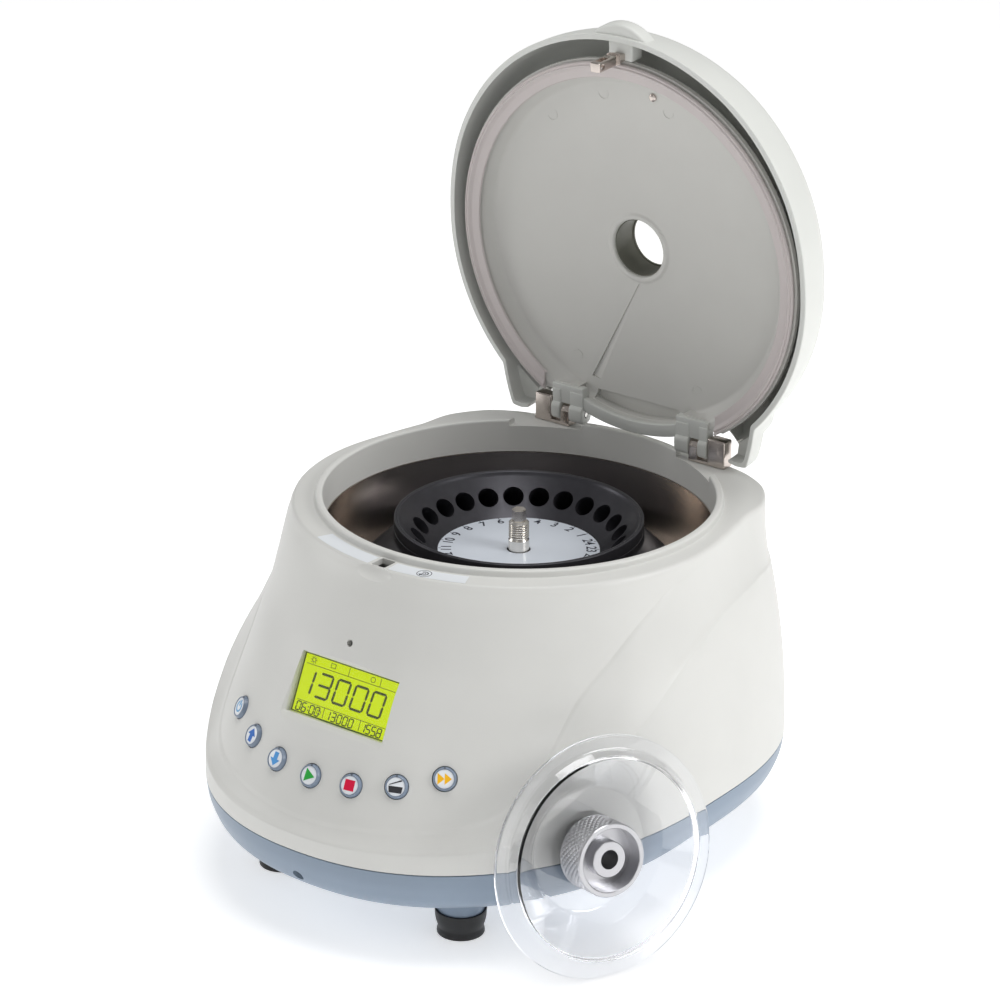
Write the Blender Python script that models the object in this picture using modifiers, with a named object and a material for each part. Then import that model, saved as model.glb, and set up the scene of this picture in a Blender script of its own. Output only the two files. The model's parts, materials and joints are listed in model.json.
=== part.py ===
"""Benchtop microcentrifuge, lid open, with its clear rotor cover leaning on the housing.

Everything is modelled about the spindle: X to the right, -Y to the front, Z = 0 on the bench.
At the end the whole machine is shifted so that the origin is the bottom centre of its bounding box.
"""
import math

import bmesh
import bpy
from mathutils import Matrix, Vector

MM = 0.001
GAP = 0.3 * MM                      # running gap between neighbouring pieces

# ---- Driving dimensions ------------------------------------------------------------------
SEAM_Z = 51 * MM                    # joint between upper housing and base pan
DECK_Z = 181 * MM                   # flat top of the housing
WALL = 3 * MM                       # moulded wall thickness
PLAN_STEPS = 40                     # columns round the housing

SEAM_CENTRE_Y = -13 * MM            # the seam outline is a superellipse about this point
SEAM_HALF_WIDTH = 134 * MM
SEAM_FRONT = 171 * MM
SEAM_FRONT_POWER = 2.2
SEAM_REAR = 140 * MM
SEAM_REAR_POWER = 2.8

# Deck edge: degrees from the front, radius in mm from the spindle
DECK_EDGE = ((0, 118.5), (30, 118.3), (60, 118), (85, 117), (102, 115.5), (115, 118), (126, 127),
             (135, 129), (142, 126.5), (150, 121), (162, 113), (180, 108.5))
# Share of the way from deck edge to seam that the bell-shaped front has flared, by height in mm
BELL_FLARE = ((51, 1.0), (66, 0.92), (75, 0.86), (92, 0.72), (102, 0.63), (126, 0.42), (141, 0.28),
              (157, 0.17), (172, 0.07), (181, 0.0))
# Heights in mm of the two creases that bound the hollow band, by degrees from the front
UPPER_CREASE = ((0, 67.5), (16, 70), (24, 72), (33, 77), (38, 86), (43, 102), (50, 126), (58, 141),
                (67, 157), (79, 171), (95, 177), (110, 178.5), (180, 179))
LOWER_CREASE = ((0, 61), (33, 64), (45, 80), (53, 95), (62, 110), (75, 130), (84, 139), (99, 149),
                (112, 151), (126, 148), (180, 148))
SIDE_DRAFT = 0.065                  # how far the side wall has drawn in 90 mm above the seam
SIDE_DRAFT_RUN = 90 * MM

COLLAR_INNER_R = 101.8 * MM
COLLAR_OUTER_R = 106 * MM
COLLAR_TOP_Z = 184.6 * MM
COLLAR_BOTTOM_Z = 166.4 * MM

PAN_FLOOR_Z = 24 * MM
FOOT_BOSS_R = 12 * MM
FOOT_FRONT = (58.9 * MM, -123.5 * MM)
FOOT_REAR = (72 * MM, 78 * MM)

HINGE_Y = 100 * MM
HINGE_Z = 189.3 * MM
HINGE_PIN_R = 1.5 * MM
HINGE_KNUCKLE_R = 4.5 * MM
LID_OPEN_ANGLE = math.radians(85.8)
# Lid edge: degrees from the front, radius in mm from the spindle
LID_EDGE = ((0, 121.3), (30, 120.4), (60, 117.6), (90, 114.7))
LID_RIM_Z = 184.1 * MM
LID_PORT_R = 17.5 * MM

HOOK_Y = -110.1 * MM                # latch hook, which the lock bolt enters when the lid is closed
HOOK_HOLE_Z = 167.6 * MM
LOCK_BOLT_R = 1.4 * MM

TUBE_COUNT = 24
TUBE_R = 5.5 * MM
TUBE_LENGTH = 40 * MM
TUBE_PITCH_R = 51.9 * MM
TUBE_MOUTH_Z = 160.4 * MM
TUBE_ANGLE = math.radians(45)
TUBE_PHASE = math.radians(10.4)     # turn of the rotor as it stands

COVER_CENTRE = Vector((136.1, -109.2, 60.6)) * MM
COVER_FACING = math.radians(-22.3)  # direction the cover faces, from +X
COVER_LEAN = math.radians(9.8)      # lean back from upright

BUTTON_R = 6 * MM
BUTTON_PITCH = 8.1                  # degrees between buttons
BUTTON_ROW_Z = 86 * MM
BUTTON_ROW_RISE = 1.02 * MM         # rise of the row with the square of the place in it

DISPLAY_CENTRE = Vector((0, -143.5, 120)) * MM
DISPLAY_TILT = math.radians(24.7)
DISPLAY_SIZE = (61.3 * MM, 30.6 * MM)


# ---- Scene helpers -----------------------------------------------------------------------
def clear_scene():
    for obj in list(bpy.data.objects):
        bpy.data.objects.remove(obj, do_unlink=True)


clear_scene()
parts = bpy.data.collections.new("laboratory_centrifuge")
cutters = bpy.data.collections.new("cutters")
bpy.context.scene.collection.children.link(parts)
bpy.context.scene.collection.children.link(cutters)


def new_empty(name, location=(0, 0, 0), parent=None):
    empty = bpy.data.objects.new(name, None)
    empty.empty_display_size = 0.02
    empty.location = location
    empty.parent = parent
    parts.objects.link(empty)
    return empty


root = new_empty("machine_origin")


def new_material(name, colour, roughness, metallic=0.0, alpha=1.0):
    material = bpy.data.materials.new(name)
    material.use_nodes = True
    shader = material.node_tree.nodes["Principled BSDF"]
    shader.inputs["Base Color"].default_value = (*colour, 1.0)
    shader.inputs["Roughness"].default_value = roughness
    shader.inputs["Metallic"].default_value = metallic
    shader.inputs["Alpha"].default_value = alpha
    return material


HOUSING_GREY = new_material("housing_grey", (0.72, 0.72, 0.69), 0.45)
LID_GREY = new_material("lid_grey", (0.60, 0.62, 0.57), 0.45)
PAN_BLUE = new_material("pan_blue", (0.32, 0.39, 0.48), 0.45)
BUTTON_BLUE = new_material("button_blue", (0.36, 0.41, 0.48), 0.4)
RUBBER = new_material("black_rubber", (0.02, 0.02, 0.02), 0.8)
SEAL_GREY = new_material("seal_grey", (0.62, 0.60, 0.58), 0.6)
STAINLESS = new_material("stainless", (0.62, 0.60, 0.57), 0.25, 1.0)
STEEL = new_material("plated_steel", (0.55, 0.53, 0.50), 0.3, 1.0)
ANODISED = new_material("black_anodised", (0.04, 0.04, 0.045), 0.4, 0.8)
ALUMINIUM = new_material("satin_aluminium", (0.70, 0.70, 0.72), 0.35, 1.0)
LABEL_WHITE = new_material("label_white", (0.72, 0.76, 0.80), 0.4)
CLEAR = new_material("clear_plastic", (0.9, 0.92, 0.93), 0.05, 0.0, 0.3)
LCD_GREEN = new_material("lcd_green", (0.60, 0.72, 0.0), 0.4)
BOARD_GREEN = new_material("board_green", (0.05, 0.22, 0.10), 0.5)
BLACK_PLASTIC = new_material("black_plastic", (0.03, 0.03, 0.03), 0.5)
COPPER = new_material("copper_winding", (0.60, 0.30, 0.15), 0.4, 1.0)


def add_part(name, mesh, material, parent=root, location=(0, 0, 0)):
    mesh.name = name
    mesh.materials.clear()
    mesh.materials.append(material)
    mesh.shade_smooth()
    mesh.set_sharp_from_angle(angle=math.radians(35))
    obj = bpy.data.objects.new(name, mesh)
    obj.location = location
    obj.parent = parent
    parts.objects.link(obj)
    return obj


def mesh_from_bmesh(bm):
    mesh = bpy.data.meshes.new("shape")
    bmesh.ops.recalc_face_normals(bm, faces=bm.faces)
    bm.to_mesh(mesh)
    bm.free()
    return mesh


def box_mesh(size, centre=(0, 0, 0), rotation=None):
    bm = bmesh.new()
    bmesh.ops.create_cube(bm, size=1.0)
    bmesh.ops.scale(bm, vec=size, verts=bm.verts)
    if rotation is not None:
        bmesh.ops.transform(bm, matrix=rotation, verts=bm.verts)
    bmesh.ops.translate(bm, vec=centre, verts=bm.verts)
    return mesh_from_bmesh(bm)


def cylinder_mesh(radius, length, centre=(0, 0, 0), axis=(0, 0, 1), segments=24):
    bm = bmesh.new()
    bmesh.ops.create_cone(bm, cap_ends=True, segments=segments, radius1=radius, radius2=radius, depth=length)
    turn = Vector((0, 0, 1)).rotation_difference(Vector(axis)).to_matrix()
    bmesh.ops.rotate(bm, matrix=turn, verts=bm.verts)
    bmesh.ops.translate(bm, vec=centre, verts=bm.verts)
    return mesh_from_bmesh(bm)


def ellipsoid_mesh(radii, centre):
    bm = bmesh.new()
    bmesh.ops.create_uvsphere(bm, u_segments=20, v_segments=12, radius=1.0)
    bmesh.ops.scale(bm, vec=radii, verts=bm.verts)
    bmesh.ops.translate(bm, vec=centre, verts=bm.verts)
    return mesh_from_bmesh(bm)


def loft_mesh(rings, capped=False):
    """Closed body through rings of equal point counts. The last ring joins the first,
    or both are filled when the body is capped."""
    bm = bmesh.new()
    rows = [[bm.verts.new(point) for point in ring] for ring in rings]
    pairs = list(zip(rows, rows[1:]))
    if capped:
        bm.faces.new(rows[0])
        bm.faces.new(rows[-1])
    else:
        pairs.append((rows[-1], rows[0]))
    for row, above in pairs:
        for i, corner in enumerate(row):
            j = (i + 1) % len(row)
            bm.faces.new((corner, row[j], above[j], above[i]))
    return mesh_from_bmesh(bm)


def turned(name, profile, material, parent=root, steps=20, location=(0, 0, 0)):
    """Turned piece from (radius, height) points in mm, which run down the outer side.
    A profile that starts on the axis also ends on it, and any other is closed into a ring."""
    points = [(r * MM, 0.0, z * MM) for r, z in profile]
    edges = [(i, i + 1) for i in range(len(points) - 1)]
    if profile[0][0] > 0:
        edges.append((len(points) - 1, 0))
    mesh = bpy.data.meshes.new(name)
    mesh.from_pydata(points, edges, [])
    obj = add_part(name, mesh, material, parent, location)
    screw = obj.modifiers.new("Turn", "SCREW")
    screw.steps = steps
    screw.render_steps = steps
    screw.use_merge_vertices = True
    screw.merge_threshold = 0.00001
    return obj


def add_boolean(obj, mesh, operation, parent=root):
    """Cut or join with a hidden tool body that has the same parent frame as the object."""
    tool = bpy.data.objects.new("cutter", mesh)
    tool.parent = parent
    tool.hide_render = True
    tool.display_type = "WIRE"
    cutters.objects.link(tool)
    modifier = obj.modifiers.new(operation.title(), "BOOLEAN")
    modifier.operation = operation
    modifier.object = tool
    return tool


def cut(obj, mesh, parent=root):
    return add_boolean(obj, mesh, "DIFFERENCE", parent)


def join(obj, mesh, parent=root):
    return add_boolean(obj, mesh, "UNION", parent)


def add_bevel(obj, width, segments=1):
    bevel = obj.modifiers.new("Bevel", "BEVEL")
    bevel.width = width
    bevel.segments = segments
    bevel.limit_method = "ANGLE"
    return obj


# ---- Housing surface ---------------------------------------------------------------------
def curve_value(points, x):
    """Smooth curve through (x, y) points, flat past both ends."""
    if x <= points[0][0]:
        return points[0][1]
    if x >= points[-1][0]:
        return points[-1][1]
    slopes = [0.0]
    for before, here, after in zip(points, points[1:], points[2:]):
        rise_in = (here[1] - before[1]) / (here[0] - before[0])
        rise_out = (after[1] - here[1]) / (after[0] - here[0])
        slopes.append(0.0 if rise_in * rise_out <= 0 else 2 * rise_in * rise_out / (rise_in + rise_out))
    slopes.append(0.0)
    for i in range(len(points) - 1):
        if x <= points[i + 1][0]:
            span = points[i + 1][0] - points[i][0]
            t = (x - points[i][0]) / span
            return ((1 + 2 * t) * (1 - t) ** 2 * points[i][1] + t * (1 - t) ** 2 * span * slopes[i]
                    + t * t * (3 - 2 * t) * points[i + 1][1] + t * t * (t - 1) * span * slopes[i + 1])


def fold_degrees(angle):
    """Angle from the front in degrees, the same on both sides."""
    degrees = abs(math.degrees(angle)) % 360
    return 360 - degrees if degrees > 180 else degrees


def seam_radius(angle):
    """Distance from the spindle to the seam outline, by halving the interval it lies in."""
    low, high = 50 * MM, 250 * MM
    for _ in range(30):
        middle = (low + high) / 2
        x = middle * math.sin(angle)
        y = -middle * math.cos(angle) - SEAM_CENTRE_Y
        depth, power = (SEAM_FRONT, SEAM_FRONT_POWER) if y < 0 else (SEAM_REAR, SEAM_REAR_POWER)
        if (abs(x) / SEAM_HALF_WIDTH) ** power + (abs(y) / depth) ** power > 1:
            high = middle
        else:
            low = middle
    return low


def deck_radius(angle):
    return curve_value(DECK_EDGE, fold_degrees(angle)) * MM


def crease_heights(angle):
    degrees = fold_degrees(angle)
    return curve_value(LOWER_CREASE, degrees) * MM, curve_value(UPPER_CREASE, degrees) * MM


def bell_radius(angle, z):
    deck = deck_radius(angle)
    return deck + curve_value(BELL_FLARE, z / MM) * (seam_radius(angle) - deck)


def side_radius(angle, z):
    return seam_radius(angle) * (1 - SIDE_DRAFT * ((z - SEAM_Z) / SIDE_DRAFT_RUN) ** 2)


def shell_radius(angle, z):
    """Outside of the upper housing: bell above the band, upright wall below it."""
    lower, upper = crease_heights(angle)
    if z >= upper:
        return bell_radius(angle, z)
    if z <= lower:
        return side_radius(angle, z)
    share = (z - lower) / (upper - lower)
    return (1 - share) * side_radius(angle, lower) + share * bell_radius(angle, upper)


def polar(angle, radius, z):
    return Vector((radius * math.sin(angle), -radius * math.cos(angle), z))


def shell_point(angle, z):
    return polar(angle, shell_radius(angle, z), z)


def shell_normal(angle, z):
    step = 2 * MM
    turn = step / deck_radius(angle)
    along = shell_point(angle + turn, z) - shell_point(angle - turn, z)
    up = shell_point(angle, z + step) - shell_point(angle, z - step)
    return along.cross(up).normalized()


def plan_angles(count=PLAN_STEPS):
    return [2 * math.pi * i / count for i in range(count)]


def ring_at(radius, z, angles):
    return [polar(angle, radius, z) for angle in angles]


def wall_frame(angle, z):
    """Axes on the housing wall: across, up the wall, and out of it."""
    out = shell_normal(angle, z)
    across = Vector((0, 0, 1)).cross(out).normalized()
    up = out.cross(across)
    frame = Matrix((across, up, out)).transposed().to_4x4()
    frame.translation = shell_point(angle, z)
    return frame


# ---- Upper housing -----------------------------------------------------------------------
REAR_PANEL_Z = 84 * MM
INLET_ANGLE = math.radians(180 + 30)
SWITCH_ANGLE = math.radians(180 + 12)
FAN_CENTRE = Vector((43, 103.4, 82)) * MM
FAN_SIZE = (48 * MM, 10 * MM)
INLET_HOLE = (28 * MM, 20.5 * MM)
SWITCH_HOLE = (13.6 * MM, 19.6 * MM)
SWITCH_TILT = math.radians(8)       # the rocker leans this far either way
LATCH_Y = -111.2 * MM
LATCH_SLOT = (8.4 * MM, 9.2 * MM)
NOTCH_X = (31 * MM, 66 * MM)
BUZZER_Z = 145 * MM
SOUNDER_ANGLE = math.radians(-1.1)
SOUNDER_HOLE_R = 1.8 * MM
SCOOP_CENTRE = (0, -130.5 * MM, 183 * MM)   # finger scoop in front of the latch slot
SCOOP_RADII = (25 * MM, 14 * MM, 11 * MM)
NOTCH_DEPTH = 50 * MM
VENT_COUNT = 5
VENT_PITCH = 8 * MM
VENT_SIZE = (38 * MM, 3.4 * MM)
HINGE_STUD = Vector((56.9, 99.5)) * MM
HINGE_STUD_R = 2.5 * MM
SCREW_ANGLES = tuple(math.radians(a) for a in (0, 63, 180, 297))


def housing_column(angle):
    """Closed section through the moulding in the plane at one angle."""
    lower, upper = crease_heights(angle)
    bottom = SEAM_Z + GAP
    brink = DECK_Z - 1.5 * MM
    outer = [bottom, (bottom + lower) / 2, lower, (lower + upper) / 2, upper]
    outer += [upper + (brink - upper) * share for share in (0.25, 0.5, 0.75, 1.0)]
    column = [(shell_radius(angle, z), z) for z in outer]
    column.append((deck_radius(angle) - 1.5 * MM, DECK_Z))
    column.append((COLLAR_OUTER_R, DECK_Z))
    column.append((COLLAR_OUTER_R - 0.5 * MM, COLLAR_TOP_Z))
    column.append((COLLAR_INNER_R, COLLAR_TOP_Z))
    column.append((COLLAR_INNER_R, COLLAR_BOTTOM_Z))
    column.append((COLLAR_INNER_R + 2 * MM, COLLAR_BOTTOM_Z))
    under = DECK_Z - WALL
    column.append((COLLAR_INNER_R + 2 * MM, under))
    column.append((max(deck_radius(angle) - WALL, COLLAR_INNER_R + 3 * MM), under))
    for z in reversed(outer[:-2:2]):
        column.append((shell_radius(angle, z) - WALL, z))
    return column


def make_upper_housing():
    angles = plan_angles()
    columns = [housing_column(angle) for angle in angles]
    rings = [[polar(angle, *column[row]) for angle, column in zip(angles, columns)]
             for row in range(len(columns[0]))]
    housing = add_part("upper_housing", loft_mesh(rings), HOUSING_GREY)
    window = Matrix.Rotation(-DISPLAY_TILT, 4, "X")
    width, height = DISPLAY_SIZE
    cut(housing, box_mesh((width + 2 * GAP, 40 * MM, height + 2 * GAP), DISPLAY_CENTRE, window))
    for place in range(-3, 4):
        centre, out = button_seat(place)
        cut(housing, cylinder_mesh(BUTTON_R + GAP, 20 * MM, centre, out, 12))
    sounder = shell_point(SOUNDER_ANGLE, BUZZER_Z)
    sounder_axis = shell_normal(SOUNDER_ANGLE, BUZZER_Z)
    cut(housing, cylinder_mesh(SOUNDER_HOLE_R, 20 * MM, sounder, sounder_axis, 10))
    cut(housing, box_mesh((*LATCH_SLOT, 20 * MM), (0, LATCH_Y, DECK_Z)))
    cut(housing, ellipsoid_mesh(SCOOP_RADII, SCOOP_CENTRE))
    for side in (-1, 1):
        middle = side * sum(NOTCH_X) / 2
        width = NOTCH_X[1] - NOTCH_X[0]
        cut(housing, box_mesh((width, NOTCH_DEPTH, 20 * MM), (middle, HINGE_Y, DECK_Z + 10.02 * MM)))
        stud = (side * HINGE_STUD.x, HINGE_STUD.y, DECK_Z)
        cut(housing, cylinder_mesh(HINGE_STUD_R + GAP, 20 * MM, stud, segments=12))
    cut(housing, box_mesh((*INLET_HOLE, 30 * MM), rotation=wall_frame(INLET_ANGLE, REAR_PANEL_Z)))
    cut(housing, box_mesh((*SWITCH_HOLE, 30 * MM), rotation=wall_frame(SWITCH_ANGLE, REAR_PANEL_Z)))
    for row in range(VENT_COUNT):
        height = FAN_CENTRE.z + (row - VENT_COUNT // 2) * VENT_PITCH
        cut(housing, box_mesh((VENT_SIZE[0], 30 * MM, VENT_SIZE[1]), (FAN_CENTRE.x, 126 * MM, height)))
    return housing


def button_seat(place):
    angle = math.radians(BUTTON_PITCH * place)
    z = BUTTON_ROW_Z + BUTTON_ROW_RISE * place * place
    return shell_point(angle, z), shell_normal(angle, z)


# ---- Base pan and feet -------------------------------------------------------------------
# Pan wall section: inset from the seam outline and height, in mm, from the seam downwards
PAN_SECTION = ((0, 50.8), (1, 43), (5, 33), (12, 26.5), (24, 24))


def make_base_pan():
    angles = plan_angles()
    rings = []
    for inset, height in PAN_SECTION:
        rings.append([polar(a, seam_radius(a) - inset * MM, height * MM) for a in angles])
    rings.append(ring_at(20 * MM, PAN_FLOOR_Z, angles))
    rings.append(ring_at(20 * MM, PAN_FLOOR_Z + WALL, angles))
    for inset, height in reversed(PAN_SECTION[1:]):
        lift = max(height * MM, PAN_FLOOR_Z + WALL)
        rings.append([polar(a, seam_radius(a) - inset * MM - WALL, lift) for a in angles])
    rings.append([polar(a, seam_radius(a) - WALL, PAN_SECTION[0][1] * MM) for a in angles])
    pan = add_part("base_pan", loft_mesh(rings), PAN_BLUE)
    boss_bottom = 10.8 * MM
    boss_length = PAN_FLOOR_Z + 1 * MM - boss_bottom
    for x, y in foot_places():
        centre = (x, y, boss_bottom + boss_length / 2)
        join(pan, cylinder_mesh(FOOT_BOSS_R, boss_length, centre, segments=20))
    for angle in SCREW_ANGLES:
        seat, axis = pan_screw_seat(angle)
        cut(pan, cylinder_mesh(3.2 * MM, 20 * MM, seat, axis, 12))
    return pan


def foot_places():
    return [(side * x, y) for x, y in (FOOT_FRONT, FOOT_REAR) for side in (-1, 1)]


def pan_screw_seat(angle):
    """A screw leans inwards through the lower wall of the pan."""
    axis = polar(angle, -0.8, 0.6)
    return polar(angle, seam_radius(angle) - 4.5 * MM, 35 * MM), axis


def make_feet():
    names = ("foot_front_left", "foot_front_right", "foot_rear_left", "foot_rear_right")
    profile = ((12.3, 13.5), (13.2, 13.5), (12.9, 8), (11.6, 4), (12.2, 0), (0, 0), (0, 10.4), (12.3, 10.4))
    for name, (x, y) in zip(names, foot_places()):
        turned(name, profile, RUBBER, steps=20, location=(x, y, 0))


def make_pan_screws():
    for number, angle in enumerate(SCREW_ANGLES, 1):
        seat, axis = pan_screw_seat(angle)
        head = cylinder_mesh(2.8 * MM, 3 * MM, seat + axis * 4 * MM, axis, 12)
        screw = add_part(f"pan_screw_{number}", head, STEEL)
        join(screw, cylinder_mesh(1.5 * MM, 12 * MM, seat + axis * 11 * MM, axis, 10))


# ---- Chamber, drive and rotor ------------------------------------------------------------
def make_chamber():
    turned("chamber_bowl", ((101.3, 166.1), (106.6, 166.1), (106.6, 165.0), (102.4, 165.0), (99.8, 111),
                            (93, 102.8), (24, 102.8), (24, 104), (92.6, 104), (98.6, 111.2)), STAINLESS,
           steps=28)
    turned("safety_ring", ((106.8, 163), (106.8, 108), (103.6, 108), (103.6, 163)), STEEL, steps=28)
    turned("shaft_boot", ((23.6, 106.5), (23.6, 101), (17, 97), (5, 97), (5, 112), (7, 112), (12, 106.5)),
           RUBBER, steps=20)


def make_chassis():
    chassis = turned("chassis_frame", ((96, 61), (96, 58), (37, 58), (37, 61)), STEEL, steps=24)
    post_top = 102.4 * MM
    post_bottom = PAN_FLOOR_Z + WALL + GAP
    for quarter in range(4):
        spot = polar(math.radians(90 * quarter), 88 * MM, (post_top + post_bottom) / 2)
        join(chassis, cylinder_mesh(5 * MM, post_top - post_bottom, spot, segments=8))


def make_motor():
    turned("motor_housing", ((11.3, 96), (35, 96), (35, 75), (57, 75), (57, 72.3), (35, 72.3), (35, 42),
                             (33, 42), (33, 93), (14, 93), (14, 86), (11.3, 86)), BLACK_PLASTIC)
    turned("motor_end_cap", ((14, 49.6), (14, 41.7), (35, 41.7), (35, 37), (5, 37), (5, 42), (11.3, 42),
                             (11.3, 49.6)), STEEL)
    bearing = ((11, 3.5), (11, -3.5), (4.3, -3.5), (4.3, 3.5))
    turned("upper_bearing", bearing, STEEL, steps=16, location=(0, 0, 90 * MM))
    turned("lower_bearing", bearing, STEEL, steps=16, location=(0, 0, 45.9 * MM))
    stator = turned("motor_stator", ((32.7, 84), (32.7, 53), (23, 53), (23, 84)), COPPER)
    for tooth in range(6):
        angle = math.radians(60 * tooth)
        turn = Matrix.Rotation(angle, 4, "Z")
        spot = turn @ Vector((25 * MM, 0, 68.5 * MM))
        cut(stator, box_mesh((12 * MM, 4 * MM, 40 * MM), spot, turn))
    for number in range(3):
        spot = polar(math.radians(120 * number), 47 * MM, 66.65 * MM)
        post = cylinder_mesh(6 * MM, 10.6 * MM, spot, segments=12)
        mount = add_part(f"motor_mount_{number + 1}", post, RUBBER)
        add_bevel(mount, 1 * MM)


def make_spinning_parts():
    turned("motor_shaft", ((0, 140), (4, 140), (4, 38), (0, 38)), STEEL, steps=16)
    turned("motor_armature", ((22, 82), (22, 55), (4.3, 55), (4.3, 82)), STEEL, steps=16)
    rotor = turned("rotor", ((5.8, 151), (43, 151), (61.5, 168.7), (63.3, 170.2), (65, 170.2), (65, 160),
                             (86, 139), (86, 127), (80, 122), (60, 122), (48, 130), (22, 130), (20, 118),
                             (4.3, 118), (4.3, 141), (5.8, 141)), ANODISED, steps=28)
    down = Vector((0, 0, -1))
    reach = TUBE_LENGTH / 2 - 3 * MM
    for number in range(TUBE_COUNT):
        angle = TUBE_PHASE + 2 * math.pi * number / TUBE_COUNT
        outward = polar(angle, 1, 0)
        axis = outward * math.sin(TUBE_ANGLE) + down * math.cos(TUBE_ANGLE)
        mouth = polar(angle, TUBE_PITCH_R, TUBE_MOUTH_Z)
        cut(rotor, cylinder_mesh(TUBE_R, TUBE_LENGTH + 6 * MM, mouth + axis * reach, axis, 7))
    turned("rotor_label", ((42.3, 151.8), (42.3, 151.3), (6.2, 151.3), (6.2, 151.8)), LABEL_WHITE)
    profile = [(0, 174.3), (3.6, 174.3), (3.6, 168), (4.8, 167.3)]
    for thread in range(4):
        top = 166.6 - 2.2 * thread
        profile += [(5.4, top), (4.8, top - 1.1)]
    profile += [(5.5, 157.4), (5.5, 141.5), (0, 141.5)]
    turned("rotor_bolt", profile, STEEL, steps=14)


# ---- Display and buttons -----------------------------------------------------------------
def make_display():
    tilt = Matrix.Rotation(-DISPLAY_TILT, 4, "X")
    inward = tilt @ Vector((0, 1, 0))
    width, height = DISPLAY_SIZE
    pieces = (("display_window", (width, 2 * MM, height), 1.0, CLEAR),
              ("display_module", (width - 1 * MM, 6 * MM, height - 1 * MM), 5.4, LCD_GREEN),
              ("display_board", (74 * MM, 1.6 * MM, 40 * MM), 12.0, BOARD_GREEN))
    for name, size, depth, material in pieces:
        add_part(name, box_mesh(size, DISPLAY_CENTRE + inward * depth * MM, tilt), material)


def make_buttons():
    names = ("button_power", "button_up", "button_down", "button_start", "button_stop", "button_lid",
             "button_short_spin")
    profile = ((0, 2), (5.2, 1.8), (6, 1), (6, -6), (0, -6))
    for place, name in zip(range(-3, 4), names):
        seat, out = button_seat(place)
        pivot = new_empty(name + "_guide", seat, root)
        pivot.rotation_euler = out.to_track_quat("Z", "Y").to_euler()
        turned(name, profile, BUTTON_BLUE, pivot, steps=16)
    add_part("button_board", button_board_mesh(), BOARD_GREEN)


def button_board_mesh():
    """Curved circuit strip behind the buttons, skinned from place to place."""
    rings = []
    for step in range(-7, 8):
        centre, out = button_seat(step / 2)
        up = Vector((0, 0, 1)) - out * out.z
        up.normalize()
        back = centre - out * 9.5 * MM
        rings.append([back + up * 8 * MM, back + up * 8 * MM - out * 1.6 * MM,
                      back - up * 8 * MM - out * 1.6 * MM, back - up * 8 * MM])
    return loft_mesh(rings, capped=True)


# ---- Lid (modelled closed, turned open about its hinge) ------------------------------------
LID_REAR_Y = 91.4 * MM              # flat back of the lid between the hinges
LID_WALL = 2.5                      # mm
LID_CROWN = 36                      # mm from rim to the flat round the port
TAIL_START = 134                    # degrees from the front at which the tail beside a hinge begins
TAIL_TIPS = ((77 * MM, 103 * MM), (66.5 * MM, 103.6 * MM))     # lower corners of the right-hand tail
TAIL_END = 147.7
TAIL_INNER_X = 66 * MM              # the rim is cut away between the tails
# Lid shell section: inset from the outline and height above the rim, in mm, rim to port
LID_SECTION = ((0, 0), (0.4, 10), (2.4, 21), (6.4, 28), (17, 32.5), (38, 35), (64, 36))
LIP_R = 23.2 * MM                   # opening lip: part of a disc that stands out of the front
LIP_Y = -104 * MM
LIP_HEIGHT = 9 * MM
LIP_ROOT = 1.5 * MM                 # how far the lip reaches into the lid wall

LINER_R = 107 * MM
LINER_REAR_Y = 88.4 * MM
STRAP_R = 102 * MM                  # round strap of the liner between the hinges
STRAP_START = math.radians(158)
# Liner section: radius, least distance inside the edge and height, in mm
LINER_SECTION = ((112, 0, 190.6), (112, 0, 188), (101, 1.5, 188), (92.5, 5, 195.5), (22, 22, 199.8),
                 (15.8, 15.8, 199.8), (15.8, 15.8, 216.1), (18.2, 18.2, 216.1), (18.2, 18.2, 202.3),
                 (22, 22, 202.3), (92.5, 5, 198.2), (101, 1.5, 190.6))
LINER_SLOT = ((-28 * MM, 28 * MM), (85.6 * MM, 93.2 * MM))

KNUCKLES = ((30.5, 39.2), (45.4, 51.0))     # x ranges in mm of the liner's hinge knuckles
HINGE_ARM_X = 42.3 * MM
HINGE_ARM_WIDTH = 5.6 * MM
HINGE_PIN_X = 43 * MM                # middle of the pin, which ends inside the post
HINGE_PIN_LENGTH = 25.2 * MM
HINGE_PLATE_X = (39.5 * MM, 62.4 * MM)
HINGE_DEPTH = 7.4 * MM
HINGE_POST_WIDTH = 11 * MM
HINGE_POST_TOP_Z = 196.5 * MM


def lid_outline(angle):
    """Lid radius by angle from the front: rounded, with a square tail each side and a flat back."""
    degrees = fold_degrees(angle)
    if degrees <= TAIL_START:
        return curve_value(LID_EDGE, degrees) * MM
    corners = [(TAIL_START, LID_EDGE[-1][1] * MM)]
    corners += [(180 - math.degrees(math.atan2(x, y)), math.hypot(x, y)) for x, y in TAIL_TIPS]
    corners.append((TAIL_END, LID_REAR_Y / -math.cos(math.radians(TAIL_END))))
    for (start, near), (end, far) in zip(corners, corners[1:]):
        if degrees <= end:
            return near + (far - near) * (degrees - start) / (end - start)
    return LID_REAR_Y / -math.cos(math.radians(degrees))


def liner_outline(angle):
    """Liner edge: round, cut flat behind the hinges, and round again as the strap between them."""
    bend = math.radians(fold_degrees(angle))
    if bend >= STRAP_START:
        return STRAP_R
    if bend <= math.pi / 2:
        return LINER_R
    return min(LINER_R, LINER_REAR_Y / -math.cos(bend))


def lid_angles(corners, count=20):
    """Even angles all round, with extra ones at the corners of an outline on both sides."""
    half = sorted({math.pi * i / count for i in range(count + 1)} | set(corners))
    return half + [-angle for angle in reversed(half[1:-1])]


def lid_section_ring(angles, inset, height):
    return [polar(a, lid_outline(a) - inset * MM, LID_RIM_Z + height * MM) for a in angles]


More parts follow.
